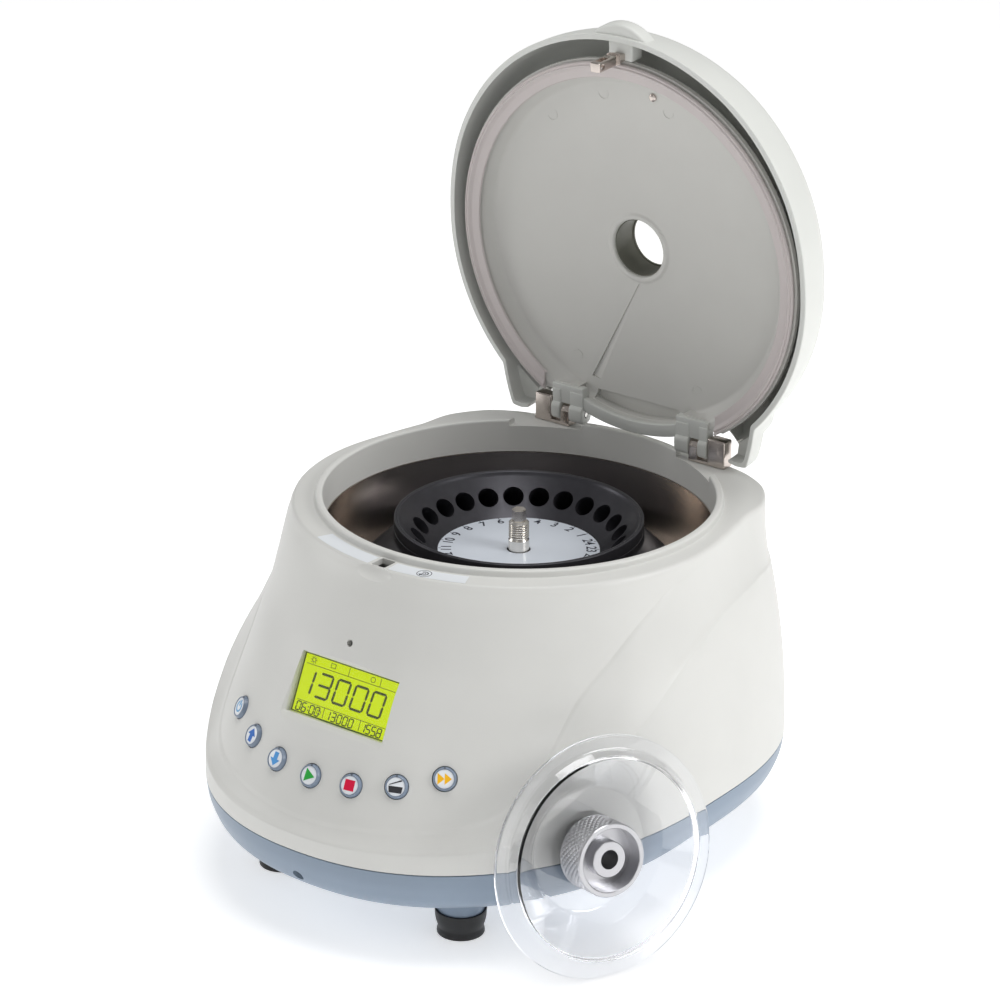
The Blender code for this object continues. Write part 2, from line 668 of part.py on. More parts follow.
def make_lid():
    pivot = new_empty("lid_pivot", (0, HINGE_Y, HINGE_Z), root)
    pivot.rotation_euler = (-LID_OPEN_ANGLE, 0, 0)
    closed = new_empty("lid_closed_frame", (0, -HINGE_Y, -HINGE_Z), pivot)
    make_lid_shell(closed)
    make_lid_liner(closed)
    gasket = turned("lid_gasket", ((105.6, 187.6), (106, 186.4), (104, 184.9), (101.6, 186.4),
                                   (101.6, 187.6)), SEAL_GREY, closed, steps=32)
    cut(gasket, box_mesh((112 * MM, 40 * MM, 20 * MM), (0, 100 * MM, 186 * MM)), closed)
    turned("port_window", ((0, 219.4), (17.2, 219.4), (17.2, 216.4), (0, 216.4)), CLEAR, closed)
    make_latch_hook(closed)


def make_lid_shell(closed):
    tips = [math.pi - math.atan2(x, y) for x, y in TAIL_TIPS]
    angles = lid_angles((math.radians(TAIL_START), math.radians(139), *tips, math.radians(TAIL_END)))
    crown_z = LID_RIM_Z + LID_CROWN * MM
    rings = [lid_section_ring(angles, *place) for place in LID_SECTION]
    rings.append(ring_at(LID_PORT_R, crown_z, angles))
    rings.append(ring_at(LID_PORT_R, crown_z - LID_WALL * MM, angles))
    for inset, height in reversed(LID_SECTION[1:]):
        rings.append(lid_section_ring(angles, inset + LID_WALL, height - min(LID_WALL, height / 4)))
    rings.append(lid_section_ring(angles, LID_WALL, 0))
    shell = add_part("lid_shell", loft_mesh(rings), HOUSING_GREY, closed)
    lip = join(shell, cylinder_mesh(LIP_R, LIP_HEIGHT, (0, LIP_Y, LID_RIM_Z + 6 * MM), segments=24), closed)
    inside_r = LID_EDGE[0][1] * MM - LIP_ROOT
    inside = cylinder_mesh(inside_r, 60 * MM, (0, 0, LID_RIM_Z), segments=40)
    cut(lip, inside, closed)
    hinge_room = box_mesh((2 * TAIL_INNER_X, 40 * MM, 25 * MM), (0, 105 * MM, 186.4 * MM))
    cut(shell, hinge_room, closed)


def make_lid_liner(closed):
    """Inner moulding of the lid: a shallow cone with the hinge knuckles on its back edge."""
    rear_corner = math.pi - math.acos(LINER_REAR_Y / LINER_R)
    angles = lid_angles((rear_corner, STRAP_START - 0.003, STRAP_START), 18)
    rings = []
    for radius, margin, height in LINER_SECTION:
        radii = [min(radius * MM, liner_outline(a) - margin * MM) for a in angles]
        rings.append([polar(a, near, height * MM) for a, near in zip(angles, radii)])
    liner = add_part("lid_liner", loft_mesh(rings), LID_GREY, closed)
    for side in (-1, 1):
        for low, high in KNUCKLES:
            width = (high - low) * MM
            middle = side * (low + high) / 2 * MM
            arm = box_mesh((width, 16 * MM, 3.6 * MM), (middle, HINGE_Y - 8 * MM, HINGE_Z))
            join(liner, arm, closed)
            eye = cylinder_mesh(HINGE_KNUCKLE_R, width, (middle, HINGE_Y, HINGE_Z), (1, 0, 0), 16)
            join(liner, eye, closed)
        bore = cylinder_mesh(HINGE_PIN_R + GAP, 26 * MM, (side * 41.8 * MM, HINGE_Y, HINGE_Z), (1, 0, 0), 10)
        cut(liner, bore, closed)
    (left, right), (front, back) = LINER_SLOT
    slot_middle = ((left + right) / 2, (front + back) / 2, 192 * MM)
    cut(liner, box_mesh((right - left, back - front, 30 * MM), slot_middle), closed)


def make_latch_hook(closed):
    """Plate that hangs from the lid, with a hole near its lower end for the lock bolt."""
    hook_bottom = 164.5 * MM
    hook_shoulder = LID_RIM_Z - GAP
    neck_top = 187.7 * MM
    width = 6 * MM
    height = hook_shoulder - hook_bottom
    plate = box_mesh((width, 5 * MM, height), (0, HOOK_Y, hook_bottom + height / 2))
    hook = add_part("latch_hook", plate, STEEL, closed)
    neck = box_mesh((width, 4 * MM, neck_top - 180 * MM), (0, HOOK_Y + 0.4 * MM, (neck_top + 180 * MM) / 2))
    join(hook, neck, closed)
    cut(hook, cylinder_mesh(LOCK_BOLT_R + GAP, 20 * MM, (0, HOOK_Y, HOOK_HOLE_Z), (1, 0, 0), 10), closed)


def make_hinges():
    """Each bracket is a plate on the deck with a thick outer post, a thin inner arm and a stud."""
    depth = HINGE_DEPTH
    foot_z = DECK_Z + GAP
    post_height = HINGE_POST_TOP_Z - foot_z
    arm_height = HINGE_Z - foot_z
    plate_middle = sum(HINGE_PLATE_X) / 2
    plate_width = HINGE_PLATE_X[1] - HINGE_PLATE_X[0]
    for side, name in ((-1, "left"), (1, "right")):
        axis_middle = (side * HINGE_ARM_X, HINGE_Y, HINGE_Z)
        pin_middle = (side * HINGE_PIN_X, HINGE_Y, HINGE_Z)
        pin = cylinder_mesh(HINGE_PIN_R, HINGE_PIN_LENGTH, pin_middle, (1, 0, 0), 10)
        add_part(f"hinge_pin_{name}", pin, STEEL)
        plate = box_mesh((plate_width, depth, 1.8 * MM), (side * plate_middle, HINGE_Y, foot_z + 0.9 * MM))
        bracket = add_part(f"hinge_bracket_{name}", plate, STEEL)
        post_middle = (side * HINGE_STUD.x, HINGE_Y, foot_z + post_height / 2)
        join(bracket, box_mesh((HINGE_POST_WIDTH, depth, post_height), post_middle))
        arm_middle = (side * HINGE_ARM_X, HINGE_Y, foot_z + arm_height / 2)
        join(bracket, box_mesh((HINGE_ARM_WIDTH, depth, arm_height), arm_middle))
        join(bracket, cylinder_mesh(depth / 2, HINGE_ARM_WIDTH, axis_middle, (1, 0, 0), 14))
        stud = (side * HINGE_STUD.x, HINGE_STUD.y, DECK_Z - 2 * MM)
        join(bracket, cylinder_mesh(HINGE_STUD_R, 10 * MM, stud, segments=10))
        cut(bracket, cylinder_mesh(HINGE_PIN_R + GAP, HINGE_PIN_LENGTH + 2 * GAP, pin_middle, (1, 0, 0), 10))


# ---- Lid lock ----------------------------------------------------------------------------
LOCK_SIZE = (28 * MM, 11 * MM, 23.6 * MM)
LOCK_CENTRE = (0, -112.8 * MM, 158.7 * MM)
SOLENOID_SIZE = (17 * MM, 8 * MM, 13 * MM)
SOLENOID_CENTRE = (23.1 * MM, -109.7 * MM, 164.1 * MM)


def make_lock():
    """Block under the latch slot with a slot for the hook and a bolt that a solenoid pushes through it."""
    block = box_mesh(LOCK_SIZE, LOCK_CENTRE)
    lock = add_part("lock_housing", block, BLACK_PLASTIC)
    cut(lock, box_mesh((LATCH_SLOT[0], 12 * MM, 20 * MM), (0, -110 * MM, 170 * MM)))
    axis_point = Vector((12 * MM, HOOK_Y, HOOK_HOLE_Z))
    bore = LOCK_BOLT_R + GAP
    cut(lock, cylinder_mesh(bore, 34 * MM, axis_point, (1, 0, 0), 10))
    add_part("lock_bolt", cylinder_mesh(LOCK_BOLT_R, 14 * MM, axis_point, (1, 0, 0), 10), STEEL)
    coil = box_mesh(SOLENOID_SIZE, SOLENOID_CENTRE)
    solenoid = add_part("lock_solenoid", coil, STEEL)
    cut(solenoid, cylinder_mesh(bore, 14 * MM, axis_point + Vector((4 * MM, 0, 0)), (1, 0, 0), 10))


# ---- Electrical parts --------------------------------------------------------------------
def make_electrics():
    board_mesh = box_mesh((100 * MM, 50 * MM, 1.6 * MM), (0, -122 * MM, 40 * MM))
    board = add_part("main_board", board_mesh, BOARD_GREEN)
    for x, y, size in ((-30, -125, (26, 16, 22)), (4, -112, (18, 18, 26)), (32, -122, (20, 24, 14))):
        height = size[2] * MM
        lump = tuple(side * MM for side in size)
        join(board, box_mesh(lump, (x * MM, y * MM, 40 * MM + height / 2)))
    core = box_mesh((40 * MM, 38 * MM, 22 * MM), (-50 * MM, 82 * MM, 39 * MM))
    transformer = add_part("transformer", core, STEEL)
    join(transformer, box_mesh((26 * MM, 30 * MM, 29 * MM), (-50 * MM, 82 * MM, 42 * MM)))
    turned("buzzer", ((0, 0), (6, 0), (6, -7), (0, -7)), BLACK_PLASTIC, buzzer_frame(), steps=16)


def buzzer_frame():
    out = shell_normal(SOUNDER_ANGLE, BUZZER_Z)
    frame = new_empty("buzzer_seat", shell_point(SOUNDER_ANGLE, BUZZER_Z) - out * (WALL + 1.2 * MM), root)
    frame.rotation_euler = out.to_track_quat("Z", "Y").to_euler()
    return frame


def make_fan():
    width, depth = FAN_SIZE
    frame = add_part("fan_frame", box_mesh((width, depth, width), FAN_CENTRE), BLACK_PLASTIC)
    across = Vector((0, 1, 0))
    cut(frame, cylinder_mesh(21.5 * MM, 20 * MM, FAN_CENTRE + across * 2.2 * MM, across, 32))
    pivot = new_empty("fan_axis", FAN_CENTRE, root)
    hub = cylinder_mesh(8 * MM, 7 * MM, (0, 0, 0), across, 20)
    impeller = add_part("fan_impeller", hub, BLACK_PLASTIC, pivot)
    for blade in range(7):
        turn = Matrix.Rotation(2 * math.pi * blade / 7, 4, "Y")
        pitch = Matrix.Rotation(math.radians(35), 4, "X")
        place = turn @ Matrix.Translation((13.5 * MM, 0, 0)) @ pitch
        join(impeller, box_mesh((13 * MM, 1.4 * MM, 6.5 * MM), rotation=place), pivot)
    impeller.location = across * 1.4 * MM


def make_rear_panel():
    inlet_frame = new_empty("inlet_seat", root.location, root)
    inlet_frame.matrix_basis = wall_frame(INLET_ANGLE, REAR_PANEL_Z)
    inner = (INLET_HOLE[0] - 2 * GAP, INLET_HOLE[1] - 2 * GAP)
    inlet_body = box_mesh((*inner, 22 * MM), (0, 0, -9.5 * MM))
    inlet = add_part("power_inlet", inlet_body, BLACK_PLASTIC, inlet_frame)
    join(inlet, box_mesh((40 * MM, 26 * MM, 2 * MM), (0, 0, 1.9 * MM)), inlet_frame)
    cut(inlet, box_mesh((24 * MM, 16.5 * MM, 20 * MM), (0, 0, -4 * MM)), inlet_frame)
    for x, y in ((-7, -2), (0, 3), (7, -2)):
        blade = box_mesh((2 * MM, 4 * MM, 9 * MM), (x * MM, y * MM, -10.5 * MM))
        join(inlet, blade, inlet_frame)
    switch_frame = new_empty("switch_seat", root.location, root)
    switch_frame.matrix_basis = wall_frame(SWITCH_ANGLE, REAR_PANEL_Z)
    inner = (SWITCH_HOLE[0] - 2 * GAP, SWITCH_HOLE[1] - 2 * GAP)
    bezel_body = box_mesh((*inner, 16 * MM), (0, 0, -6.5 * MM))
    bezel = add_part("switch_bezel", bezel_body, BLACK_PLASTIC, switch_frame)
    join(bezel, box_mesh((16 * MM, 22.4 * MM, 1.6 * MM), (0, 0, 1.4 * MM)), switch_frame)
    cut(bezel, box_mesh((10.4 * MM, 16 * MM, 14 * MM), (0, 0, -2 * MM)), switch_frame)
    rocker_pivot = new_empty("switch_axis", (0, 0, -1 * MM), switch_frame)
    rocker_pivot.rotation_euler = (SWITCH_TILT, 0, 0)
    rocker = add_part("power_switch", box_mesh((9.6 * MM, 13.4 * MM, 5 * MM), (0, 0, 0)), BLACK_PLASTIC,
                      rocker_pivot)
    add_bevel(rocker, 1 * MM)


# ---- Rotor cover, leaning on its rim -----------------------------------------------------
def make_rotor_cover():
    seat = new_empty("cover_axis", COVER_CENTRE, root)
    facing = Vector((math.cos(COVER_LEAN) * math.cos(COVER_FACING),
                     math.cos(COVER_LEAN) * math.sin(COVER_FACING), math.sin(COVER_LEAN)))
    seat.rotation_euler = facing.to_track_quat("Z", "Y").to_euler()
    turned("rotor_cover", ((50.6, 6), (51.6, 5.6), (54.5, 1.2), (60.9, 0.9), (61.3, 0), (61.3, -1),
                           (53.8, -1), (50.5, 3.4), (33.4, -14.2), (31.5, -15.6), (6, -15.6), (6, -14.4),
                           (31, -14.4), (32.6, -13)), CLEAR, seat, steps=28)
    turned("cover_knob", ((18.2, 7.4), (18.7, 6.9), (18.7, -10.6), (15, -10.9), (15, -14.1), (5.5, -14.1),
                          (5.5, -16.6), (4.9, -16.6), (4.9, 5.4), (9.2, 5.4), (9.2, -2), (16, -2),
                          (16, 7.4)), ALUMINIUM, seat, steps=20)


def set_origin():
    """Shift the machine so that the origin is the bottom centre of its bounding box."""
    bpy.context.view_layer.update()
    graph = bpy.context.evaluated_depsgraph_get()
    corners = []
    for obj in parts.objects:
        if obj.type == "MESH":
            evaluated = obj.evaluated_get(graph)
            corners += [obj.matrix_world @ vertex.co for vertex in evaluated.data.vertices]
    low = Vector([min(corner[axis] for corner in corners) for axis in range(3)])
    high = Vector([max(corner[axis] for corner in corners) for axis in range(3)])
    root.location = (-(low.x + high.x) / 2, -(low.y + high.y) / 2, -low.z)


make_upper_housing()
make_base_pan()
make_feet()
make_pan_screws()
make_chamber()
make_chassis()
make_motor()
make_spinning_parts()
make_display()
make_buttons()
make_lid()
make_hinges()
make_lock()
make_electrics()
make_fan()
make_rear_panel()
make_rotor_cover()
set_origin()
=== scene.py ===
"""Looks of the benchtop centrifuge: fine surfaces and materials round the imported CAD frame.

Lengths are in millimetres about the spindle (X right, -Y front, Z = 0 on the bench), and
TO_WORLD turns them into the frame's metres. The lid is modelled closed and turned open.
"""

import json
import math
from collections import namedtuple

import bmesh
import bpy
from mathutils import Matrix, Vector


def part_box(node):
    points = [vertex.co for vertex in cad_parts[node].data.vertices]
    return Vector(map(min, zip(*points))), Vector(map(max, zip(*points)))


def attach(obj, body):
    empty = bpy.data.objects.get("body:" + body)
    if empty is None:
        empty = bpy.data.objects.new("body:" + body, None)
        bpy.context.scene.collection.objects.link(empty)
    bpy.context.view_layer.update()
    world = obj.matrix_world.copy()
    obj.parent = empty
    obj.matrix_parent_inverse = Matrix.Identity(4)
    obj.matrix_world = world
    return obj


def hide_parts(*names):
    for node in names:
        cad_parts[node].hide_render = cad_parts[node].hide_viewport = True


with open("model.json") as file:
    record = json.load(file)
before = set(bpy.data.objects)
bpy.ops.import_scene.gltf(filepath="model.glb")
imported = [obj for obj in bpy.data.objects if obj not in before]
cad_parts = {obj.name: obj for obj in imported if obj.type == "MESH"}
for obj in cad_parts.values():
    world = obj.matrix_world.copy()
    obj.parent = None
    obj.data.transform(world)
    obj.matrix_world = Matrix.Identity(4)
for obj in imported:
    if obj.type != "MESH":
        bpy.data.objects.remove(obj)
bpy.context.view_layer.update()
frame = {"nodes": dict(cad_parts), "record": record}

MM = 0.001
rotor_low, rotor_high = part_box("rotor")
SPINDLE = Vector(((rotor_low.x + rotor_high.x) / 2, (rotor_low.y + rotor_high.y) / 2, 0))
TO_WORLD = Matrix.Translation(SPINDLE) @ Matrix.Scale(MM, 4)

HINGE = Vector((0, 100, 189.3))
HINGE_STUD = Vector((56.9, 99.5))
HINGE_TOP = 196.5
HINGE_ARM_R = 3.7
HINGE_PIN_R = 1.5
HINGE_BORE_R = 1.8
LID_OPEN = math.radians(85.8)
LID_PLACE = Matrix.Translation(HINGE) @ Matrix.Rotation(-LID_OPEN, 4, "X") @ Matrix.Translation(-HINGE)


# ---- Mesh helpers ------------------------------------------------------------------------
def polar(angle, radius, z):
    """Point at an angle from the front, which grows towards the right."""
    return Vector((radius * math.sin(angle), -radius * math.cos(angle), z))


def turn_angles(count):
    """Even angles all round."""
    return [2 * math.pi * i / count for i in range(count)]


def arc_points(radius, start, sweep, steps, centre=(0, 0)):
    """Points along an arc in a plane, from the start angle through the sweep, both in degrees."""
    angles = [math.radians(start + sweep * i / steps) for i in range(steps + 1)]
    return [(centre[0] + radius * math.cos(a), centre[1] + radius * math.sin(a)) for a in angles]


def arc_outline(outer, inner, start, sweep, steps, centre=(0, 0)):
    """Outline of a band between two arcs."""
    back = arc_points(inner, start, sweep, steps, centre)[::-1]
    return arc_points(outer, start, sweep, steps, centre) + back


def rounded_outline(width, height, radius):
    """Rectangle about the origin with round corners."""
    outline = []
    for x, y, start in ((1, 1, 0), (-1, 1, 90), (-1, -1, 180), (1, -1, 270)):
        centre = (x * (width / 2 - radius), y * (height / 2 - radius))
        outline += arc_points(radius, start, 90, 6, centre)
    return outline


def rounded_path(points, steps=4):
    """Open path in which a point (a, b, r) becomes a round corner that starts r before it."""
    path = []
    for i, point in enumerate(points):
        corner = Vector(point[:2])
        if len(point) < 3 or i in (0, len(points) - 1):
            path.append(tuple(corner))
            continue
        before = Vector(points[i - 1][:2]) - corner
        after = Vector(points[i + 1][:2]) - corner
        reach = min(point[2], before.length * 0.48, after.length * 0.48)
        start = corner + before.normalized() * reach
        end = corner + after.normalized() * reach
        for step in range(steps + 1):
            t = step / steps
            path.append(tuple(start * (1 - t) ** 2 + corner * 2 * t * (1 - t) + end * t * t))
    return path


def loft(rings, capped=False):
    """Skin through rings of equal point counts, joined end to end or capped."""
    bm = bmesh.new()
    rows = [[bm.verts.new(point) for point in ring] for ring in rings]
    pairs = list(zip(rows, rows[1:]))
    if capped:
        bm.faces.new(rows[0])
        bm.faces.new(rows[-1])
    else:
        pairs.append((rows[-1], rows[0]))
    for row, above in pairs:
        for i, corner in enumerate(row):
            j = (i + 1) % len(row)
            bm.faces.new((corner, row[j], above[j], above[i]))
    bmesh.ops.recalc_face_normals(bm, faces=bm.faces)
    return bm


def lathe(profile, segments=96, wobble=None):
    """Turned body from a (radius, z) profile. One that starts on the axis also ends on it.
    wobble(angle, radius, z) may change the radius, as a knurl does."""
    bm = bmesh.new()
    on_axis = profile[0][0] == 0
    rows = []
    for r, z in profile:
        if r == 0:
            rows.append([bm.verts.new((0, 0, z))])
            continue
        ring = []
        for angle in turn_angles(segments):
            radius = wobble(angle, r, z) if wobble else r
            ring.append(bm.verts.new(polar(angle, radius, z)))
        rows.append(ring)
    pairs = list(zip(rows, rows[1:]))
    if not on_axis:
        pairs.append((rows[-1], rows[0]))
    for row, below in pairs:
        for i in range(segments):
            j = (i + 1) % segments
            corners = [row[i % len(row)], row[j % len(row)], below[j % len(below)], below[i % len(below)]]
            bm.faces.new(list(dict.fromkeys(corners)))
    bmesh.ops.recalc_face_normals(bm, faces=bm.faces)
    return bm


def moved(bm, shift=(0, 0, 0), turn=None):
    """The same mesh after a turn by a matrix and then a shift."""
    if turn is not None:
        bmesh.ops.transform(bm, matrix=turn, verts=bm.verts)
    bmesh.ops.translate(bm, vec=shift, verts=bm.verts)
    return bm


def quarter_turn(axis):
    """Matrix that turns by 90 degrees about an axis."""
    return Matrix.Rotation(math.pi / 2, 4, axis)


def aimed(direction):
    """Matrix that turns the Z axis to a direction."""
    return Vector((0, 0, 1)).rotation_difference(Vector(direction)).to_matrix().to_4x4()


def round_edges(bm, edges, reach):
    """Round the edges over a reach on both of their sides."""
    bmesh.ops.bevel(bm, geom=edges, offset=reach, segments=3, affect="EDGES", profile=0.5)


def block(size, centre=(0, 0, 0), bevel=0.0):
    """Box by size and centre, with rounded edges where bevel is given."""
    bm = bmesh.new()
    bmesh.ops.create_cube(bm, size=1.0)
    bmesh.ops.scale(bm, vec=size, verts=bm.verts)
    if bevel:
        round_edges(bm, bm.edges[:], bevel)
    return moved(bm, centre)


def rod(radius, length, centre=(0, 0, 0), axis=(0, 0, 1), bevel=0.0, segments=48):
    """Round bar about its centre, along an axis."""
    bm = bmesh.new()
    bmesh.ops.create_cone(bm, cap_ends=True, segments=segments, radius1=radius, radius2=radius, depth=length)
    if bevel:
        rims = [edge for edge in bm.edges if abs(edge.verts[0].co.z - edge.verts[1].co.z) < 1e-6]
        round_edges(bm, rims, bevel)
    return moved(bm, centre, aimed(axis))


def prism(outline, low, high, bevel=0.0):
    """Flat outline in X and Y pulled up from low to high."""
    bm = bmesh.new()
    bottom = [bm.verts.new((x, y, low)) for x, y in outline]
    top = [bm.verts.new((x, y, high)) for x, y in outline]
    bm.faces.new(bottom)
    bm.faces.new(top)
    for i in range(len(outline)):
        j = (i + 1) % len(outline)
        bm.faces.new((bottom[i], bottom[j], top[j], top[i]))
    bmesh.ops.recalc_face_normals(bm, faces=bm.faces)
    if bevel:
        round_edges(bm, [e for e in bm.edges if e.calc_face_angle(0) > math.radians(40)], bevel)
    return bm


def merged(bodies):
    """One mesh that holds several bodies."""
    whole = bmesh.new()
    for bm in bodies:
        shape = bpy.data.meshes.new("part_of_whole")
        bm.to_mesh(shape)
        bm.free()
        whole.from_mesh(shape)
        bpy.data.meshes.remove(shape)
    return whole


def piece(name, bm, material, body, replaced=(), place=None, sharp=32):
    """Scene object from a mesh in millimetres, riding on a CAD body."""
    matrix = TO_WORLD if place is None else TO_WORLD @ place
    mesh = bpy.data.meshes.new(name)
    bm.to_mesh(mesh)
    bm.free()
    mesh.transform(matrix)
    mesh.shade_smooth()
    mesh.set_sharp_from_angle(angle=math.radians(sharp))
    mesh.materials.append(material)
    obj = bpy.data.objects.new(name, mesh)
    bpy.context.scene.collection.objects.link(obj)
    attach(obj, body)
    if replaced:
        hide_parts(*replaced)
    return obj


def reshape(obj, bm, operation="DIFFERENCE", place=None, sharp=32):
    """Cut from the object, or join to it, a closed mesh in millimetres, and keep the result."""
    matrix = TO_WORLD if place is None else TO_WORLD @ place
    mesh = bpy.data.meshes.new("tool")
    bm.to_mesh(mesh)
    bm.free()
    mesh.transform(matrix)
    tool = bpy.data.objects.new("tool", mesh)
    bpy.context.scene.collection.objects.link(tool)
    modifier = obj.modifiers.new("reshape", "BOOLEAN")
    modifier.operation = operation
    modifier.object = tool
    modifier.solver = "EXACT"
    bpy.context.view_layer.update()
    graph = bpy.context.evaluated_depsgraph_get()
    result = bpy.data.meshes.new_from_object(obj.evaluated_get(graph))
    obj.modifiers.clear()
    obj.data = result
    bpy.data.objects.remove(tool, do_unlink=True)
    result.shade_smooth()
    result.set_sharp_from_angle(angle=math.radians(sharp))


# ---- Materials ---------------------------------------------------------------------------
def shader_of(material):
    return material.node_tree.nodes["Principled BSDF"]


def connect(material, node, inputs):
    """Set a node's inputs to values, or link them where the value is another node's output."""
    for socket, value in inputs.items():
        if isinstance(value, bpy.types.NodeSocket):
            material.node_tree.links.new(value, node.inputs[socket])
        else:
            node.inputs[socket].default_value = value


def add_node(material, kind, inputs, operation=None):
    """New shader node, with its inputs set and linked."""
    node = material.node_tree.nodes.new("ShaderNode" + kind)
    if operation:
        node.operation = operation
    connect(material, node, inputs)
    return node


def bump_normal(material, height, strength, depth_mm):
    """Normal output of bumps that follow a height output."""
    inputs = {"Height": height, "Strength": strength, "Distance": depth_mm * MM}
    return add_node(material, "Bump", inputs).outputs["Normal"]


def value_range(material, value, low, high):
    """Output that spreads a value between 0 and 1 from low to high."""
    inputs = {"Value": value, "To Min": low, "To Max": high}
    return add_node(material, "MapRange", inputs).outputs["Result"]


def noise(material, vector, scale, detail=2.0):
    """Noise output at the places that a vector output gives."""
    inputs = {"Vector": vector, "Scale": scale, "Detail": detail}
    return add_node(material, "TexNoise", inputs).outputs["Fac"]


def object_place(material):
    """Output with the object's own coordinates."""
    return add_node(material, "TexCoord", {}).outputs["Object"]


def new_material(name, colour, roughness, metallic=0.0, **sockets):
    """Principled material; each further socket is named with _ for its spaces."""
    material = bpy.data.materials.new(name)
    material.use_nodes = True
    inputs = {"Base Color": (*colour, 1.0), "Roughness": roughness, "Metallic": metallic}
    inputs.update({socket.replace("_", " "): value for socket, value in sockets.items()})
    connect(material, shader_of(material), inputs)
    return material


def add_grain(material, per_mm, strength, depth_mm=0.05):
    """Fine bumps, with about per_mm features to the millimetre."""
    height = noise(material, object_place(material), per_mm / MM, 3.0)
    connect(material, shader_of(material), {"Normal": bump_normal(material, height, strength, depth_mm)})


def add_mottle(material, per_mm, amount):
    """Slight change of colour and gloss from place to place."""
    shader = shader_of(material)
    patches = noise(material, object_place(material), per_mm / MM, 4.0)
    ramp = add_node(material, "ValToRGB", {"Fac": patches})
    colour = shader.inputs["Base Color"].default_value[:3]
    for element, position, share in zip(ramp.color_ramp.elements, (0.3, 0.7), (1 - amount, 1 + amount)):
        element.position = position
        element.color = (*[min(1, c * share) for c in colour], 1)
    rough = shader.inputs["Roughness"].default_value
    gloss = value_range(material, patches, rough * (1 - amount * 2), min(1, rough * (1 + amount * 2)))
    connect(material, shader, {"Base Color": ramp.outputs["Color"], "Roughness": gloss})


def plastic(name, colour, roughness=0.42, grain=0.0, per_mm=1.2):
    material = new_material(name, colour, roughness)
    add_mottle(material, 0.03, 0.015)
    if grain:
        add_grain(material, per_mm, grain)
    return material


def metal(name, colour, roughness, mottle=0.06, grain=0.1, per_mm=2.0):
    material = new_material(name, colour, roughness, 1.0)
    add_mottle(material, 0.15, mottle)
    add_grain(material, per_mm, grain, 0.02)
    return material


def brushed_round(name, colour, roughness, centre):
    """Metal brushed round a vertical axis, with fine lines at each height and radius."""
    material = new_material(name, colour, roughness, 1.0)
    from_axis = add_node(material, "VectorMath", {0: object_place(material), 1: centre}, "SUBTRACT")
    x, y, z = add_node(material, "SeparateXYZ", {"Vector": from_axis.outputs["Vector"]}).outputs
    angle = add_node(material, "Math", {0: x, 1: y}, "ARCTAN2").outputs["Value"]
    flat = add_node(material, "CombineXYZ", {"X": x, "Y": y}).outputs["Vector"]
    radius = add_node(material, "VectorMath", {0: flat}, "LENGTH").outputs["Value"]
    unrolled = add_node(material, "CombineXYZ", {"X": angle, "Y": radius, "Z": z}).outputs["Vector"]
    brushing = {"Vector": unrolled, "Scale": (6.0, 2600.0, 1500.0)}
    lines = noise(material, add_node(material, "Mapping", brushing).outputs["Vector"], 1.0, 4.0)
    gloss = value_range(material, lines, roughness * 0.7, roughness * 1.4)
    normal = bump_normal(material, lines, 0.25, 0.02)
    connect(material, shader_of(material), {"Normal": normal, "Roughness": gloss})
    return material


def clear_sheet(name, tint, haze):
    """Thin clear plastic that lets light straight through, with a glossy, edge-bright surface."""
    material = bpy.data.materials.new(name)
    material.use_nodes = True
    material.node_tree.nodes.clear()
    facing = add_node(material, "LayerWeight", {"Blend": 0.35}).outputs["Facing"]
    curve = add_node(material, "Math", {0: facing, 1: 2.2}, "POWER").outputs["Value"]
    share = value_range(material, curve, haze, 0.75)
    ripples = bump_normal(material, noise(material, object_place(material), 60), 0.08, 0.2)
    through = add_node(material, "BsdfTransparent", {"Color": (*tint, 1)})
    gloss = add_node(material, "BsdfPrincipled", {"Base Color": (0.9, 0.92, 0.94, 1), "Roughness": 0.06,
                                                  "Normal": ripples})
    mix = add_node(material, "MixShader", {"Fac": share, 1: through.outputs["BSDF"],
                                           2: gloss.outputs["BSDF"]})
    add_node(material, "OutputMaterial", {"Surface": mix.outputs["Shader"]})
    return material


HOUSING = plastic("housing_textured", (0.66, 0.66, 0.635), 0.42, 0.35, 1.3)
LID_SHELL = plastic("lid_shell_plastic", (0.68, 0.69, 0.66), 0.38, 0.12, 1.6)
LINER = plastic("lid_liner_plastic", (0.60, 0.595, 0.565), 0.40, 0.06, 1.2)
KNUCKLE = plastic("knuckle_plastic", (0.62, 0.63, 0.60), 0.4, 0.06)
PAN = plastic("pan_plastic", (0.22, 0.28, 0.36), 0.36, 0.12, 1.4)
GASKET = plastic("gasket_rubber", (0.58, 0.53, 0.52), 0.45, 0.08)
# Near-black port sleeve colour: painted shade that darkens the shaded inside wall of the port tube.
PORT_PAINTED_SHADE = plastic("port_painted_shade_plastic", (0.15, 0.15, 0.12), 0.4, 0.1)
RUBBER = plastic("foot_rubber", (0.008, 0.008, 0.009), 0.45, 0.3, 1.0)
KEY_RING = plastic("key_ring", (0.20, 0.25, 0.33), 0.3, 0.05)
KEY_FACE = plastic("key_face", (0.80, 0.83, 0.87), 0.25)
KEY_DOT = plastic("key_dot", (0.10, 0.12, 0.15), 0.4)
FILM = plastic("deck_film", (0.76, 0.79, 0.82), 0.3)
INK = plastic("black_ink", (0.015, 0.015, 0.03), 0.5)
NICKEL = metal("nickel_plate", (0.60, 0.54, 0.50), 0.24)
STEEL = metal("plain_steel", (0.56, 0.55, 0.53), 0.3)
SPINDLE_STEEL = metal("spindle_steel", (0.80, 0.77, 0.72), 0.22, 0.03, 0.05)
ALUMINIUM = metal("satin_aluminium", (0.52, 0.52, 0.54), 0.33, 0.02, 0.15, 4.0)
ANODISED = new_material("black_anodised", (0.055, 0.054, 0.062), 0.30, 0.65)
add_mottle(ANODISED, 0.2, 0.05)
add_grain(ANODISED, 3.0, 0.12, 0.02)
BOWL = brushed_round("bowl_stainless", (0.86, 0.80, 0.75), 0.2, SPINDLE)
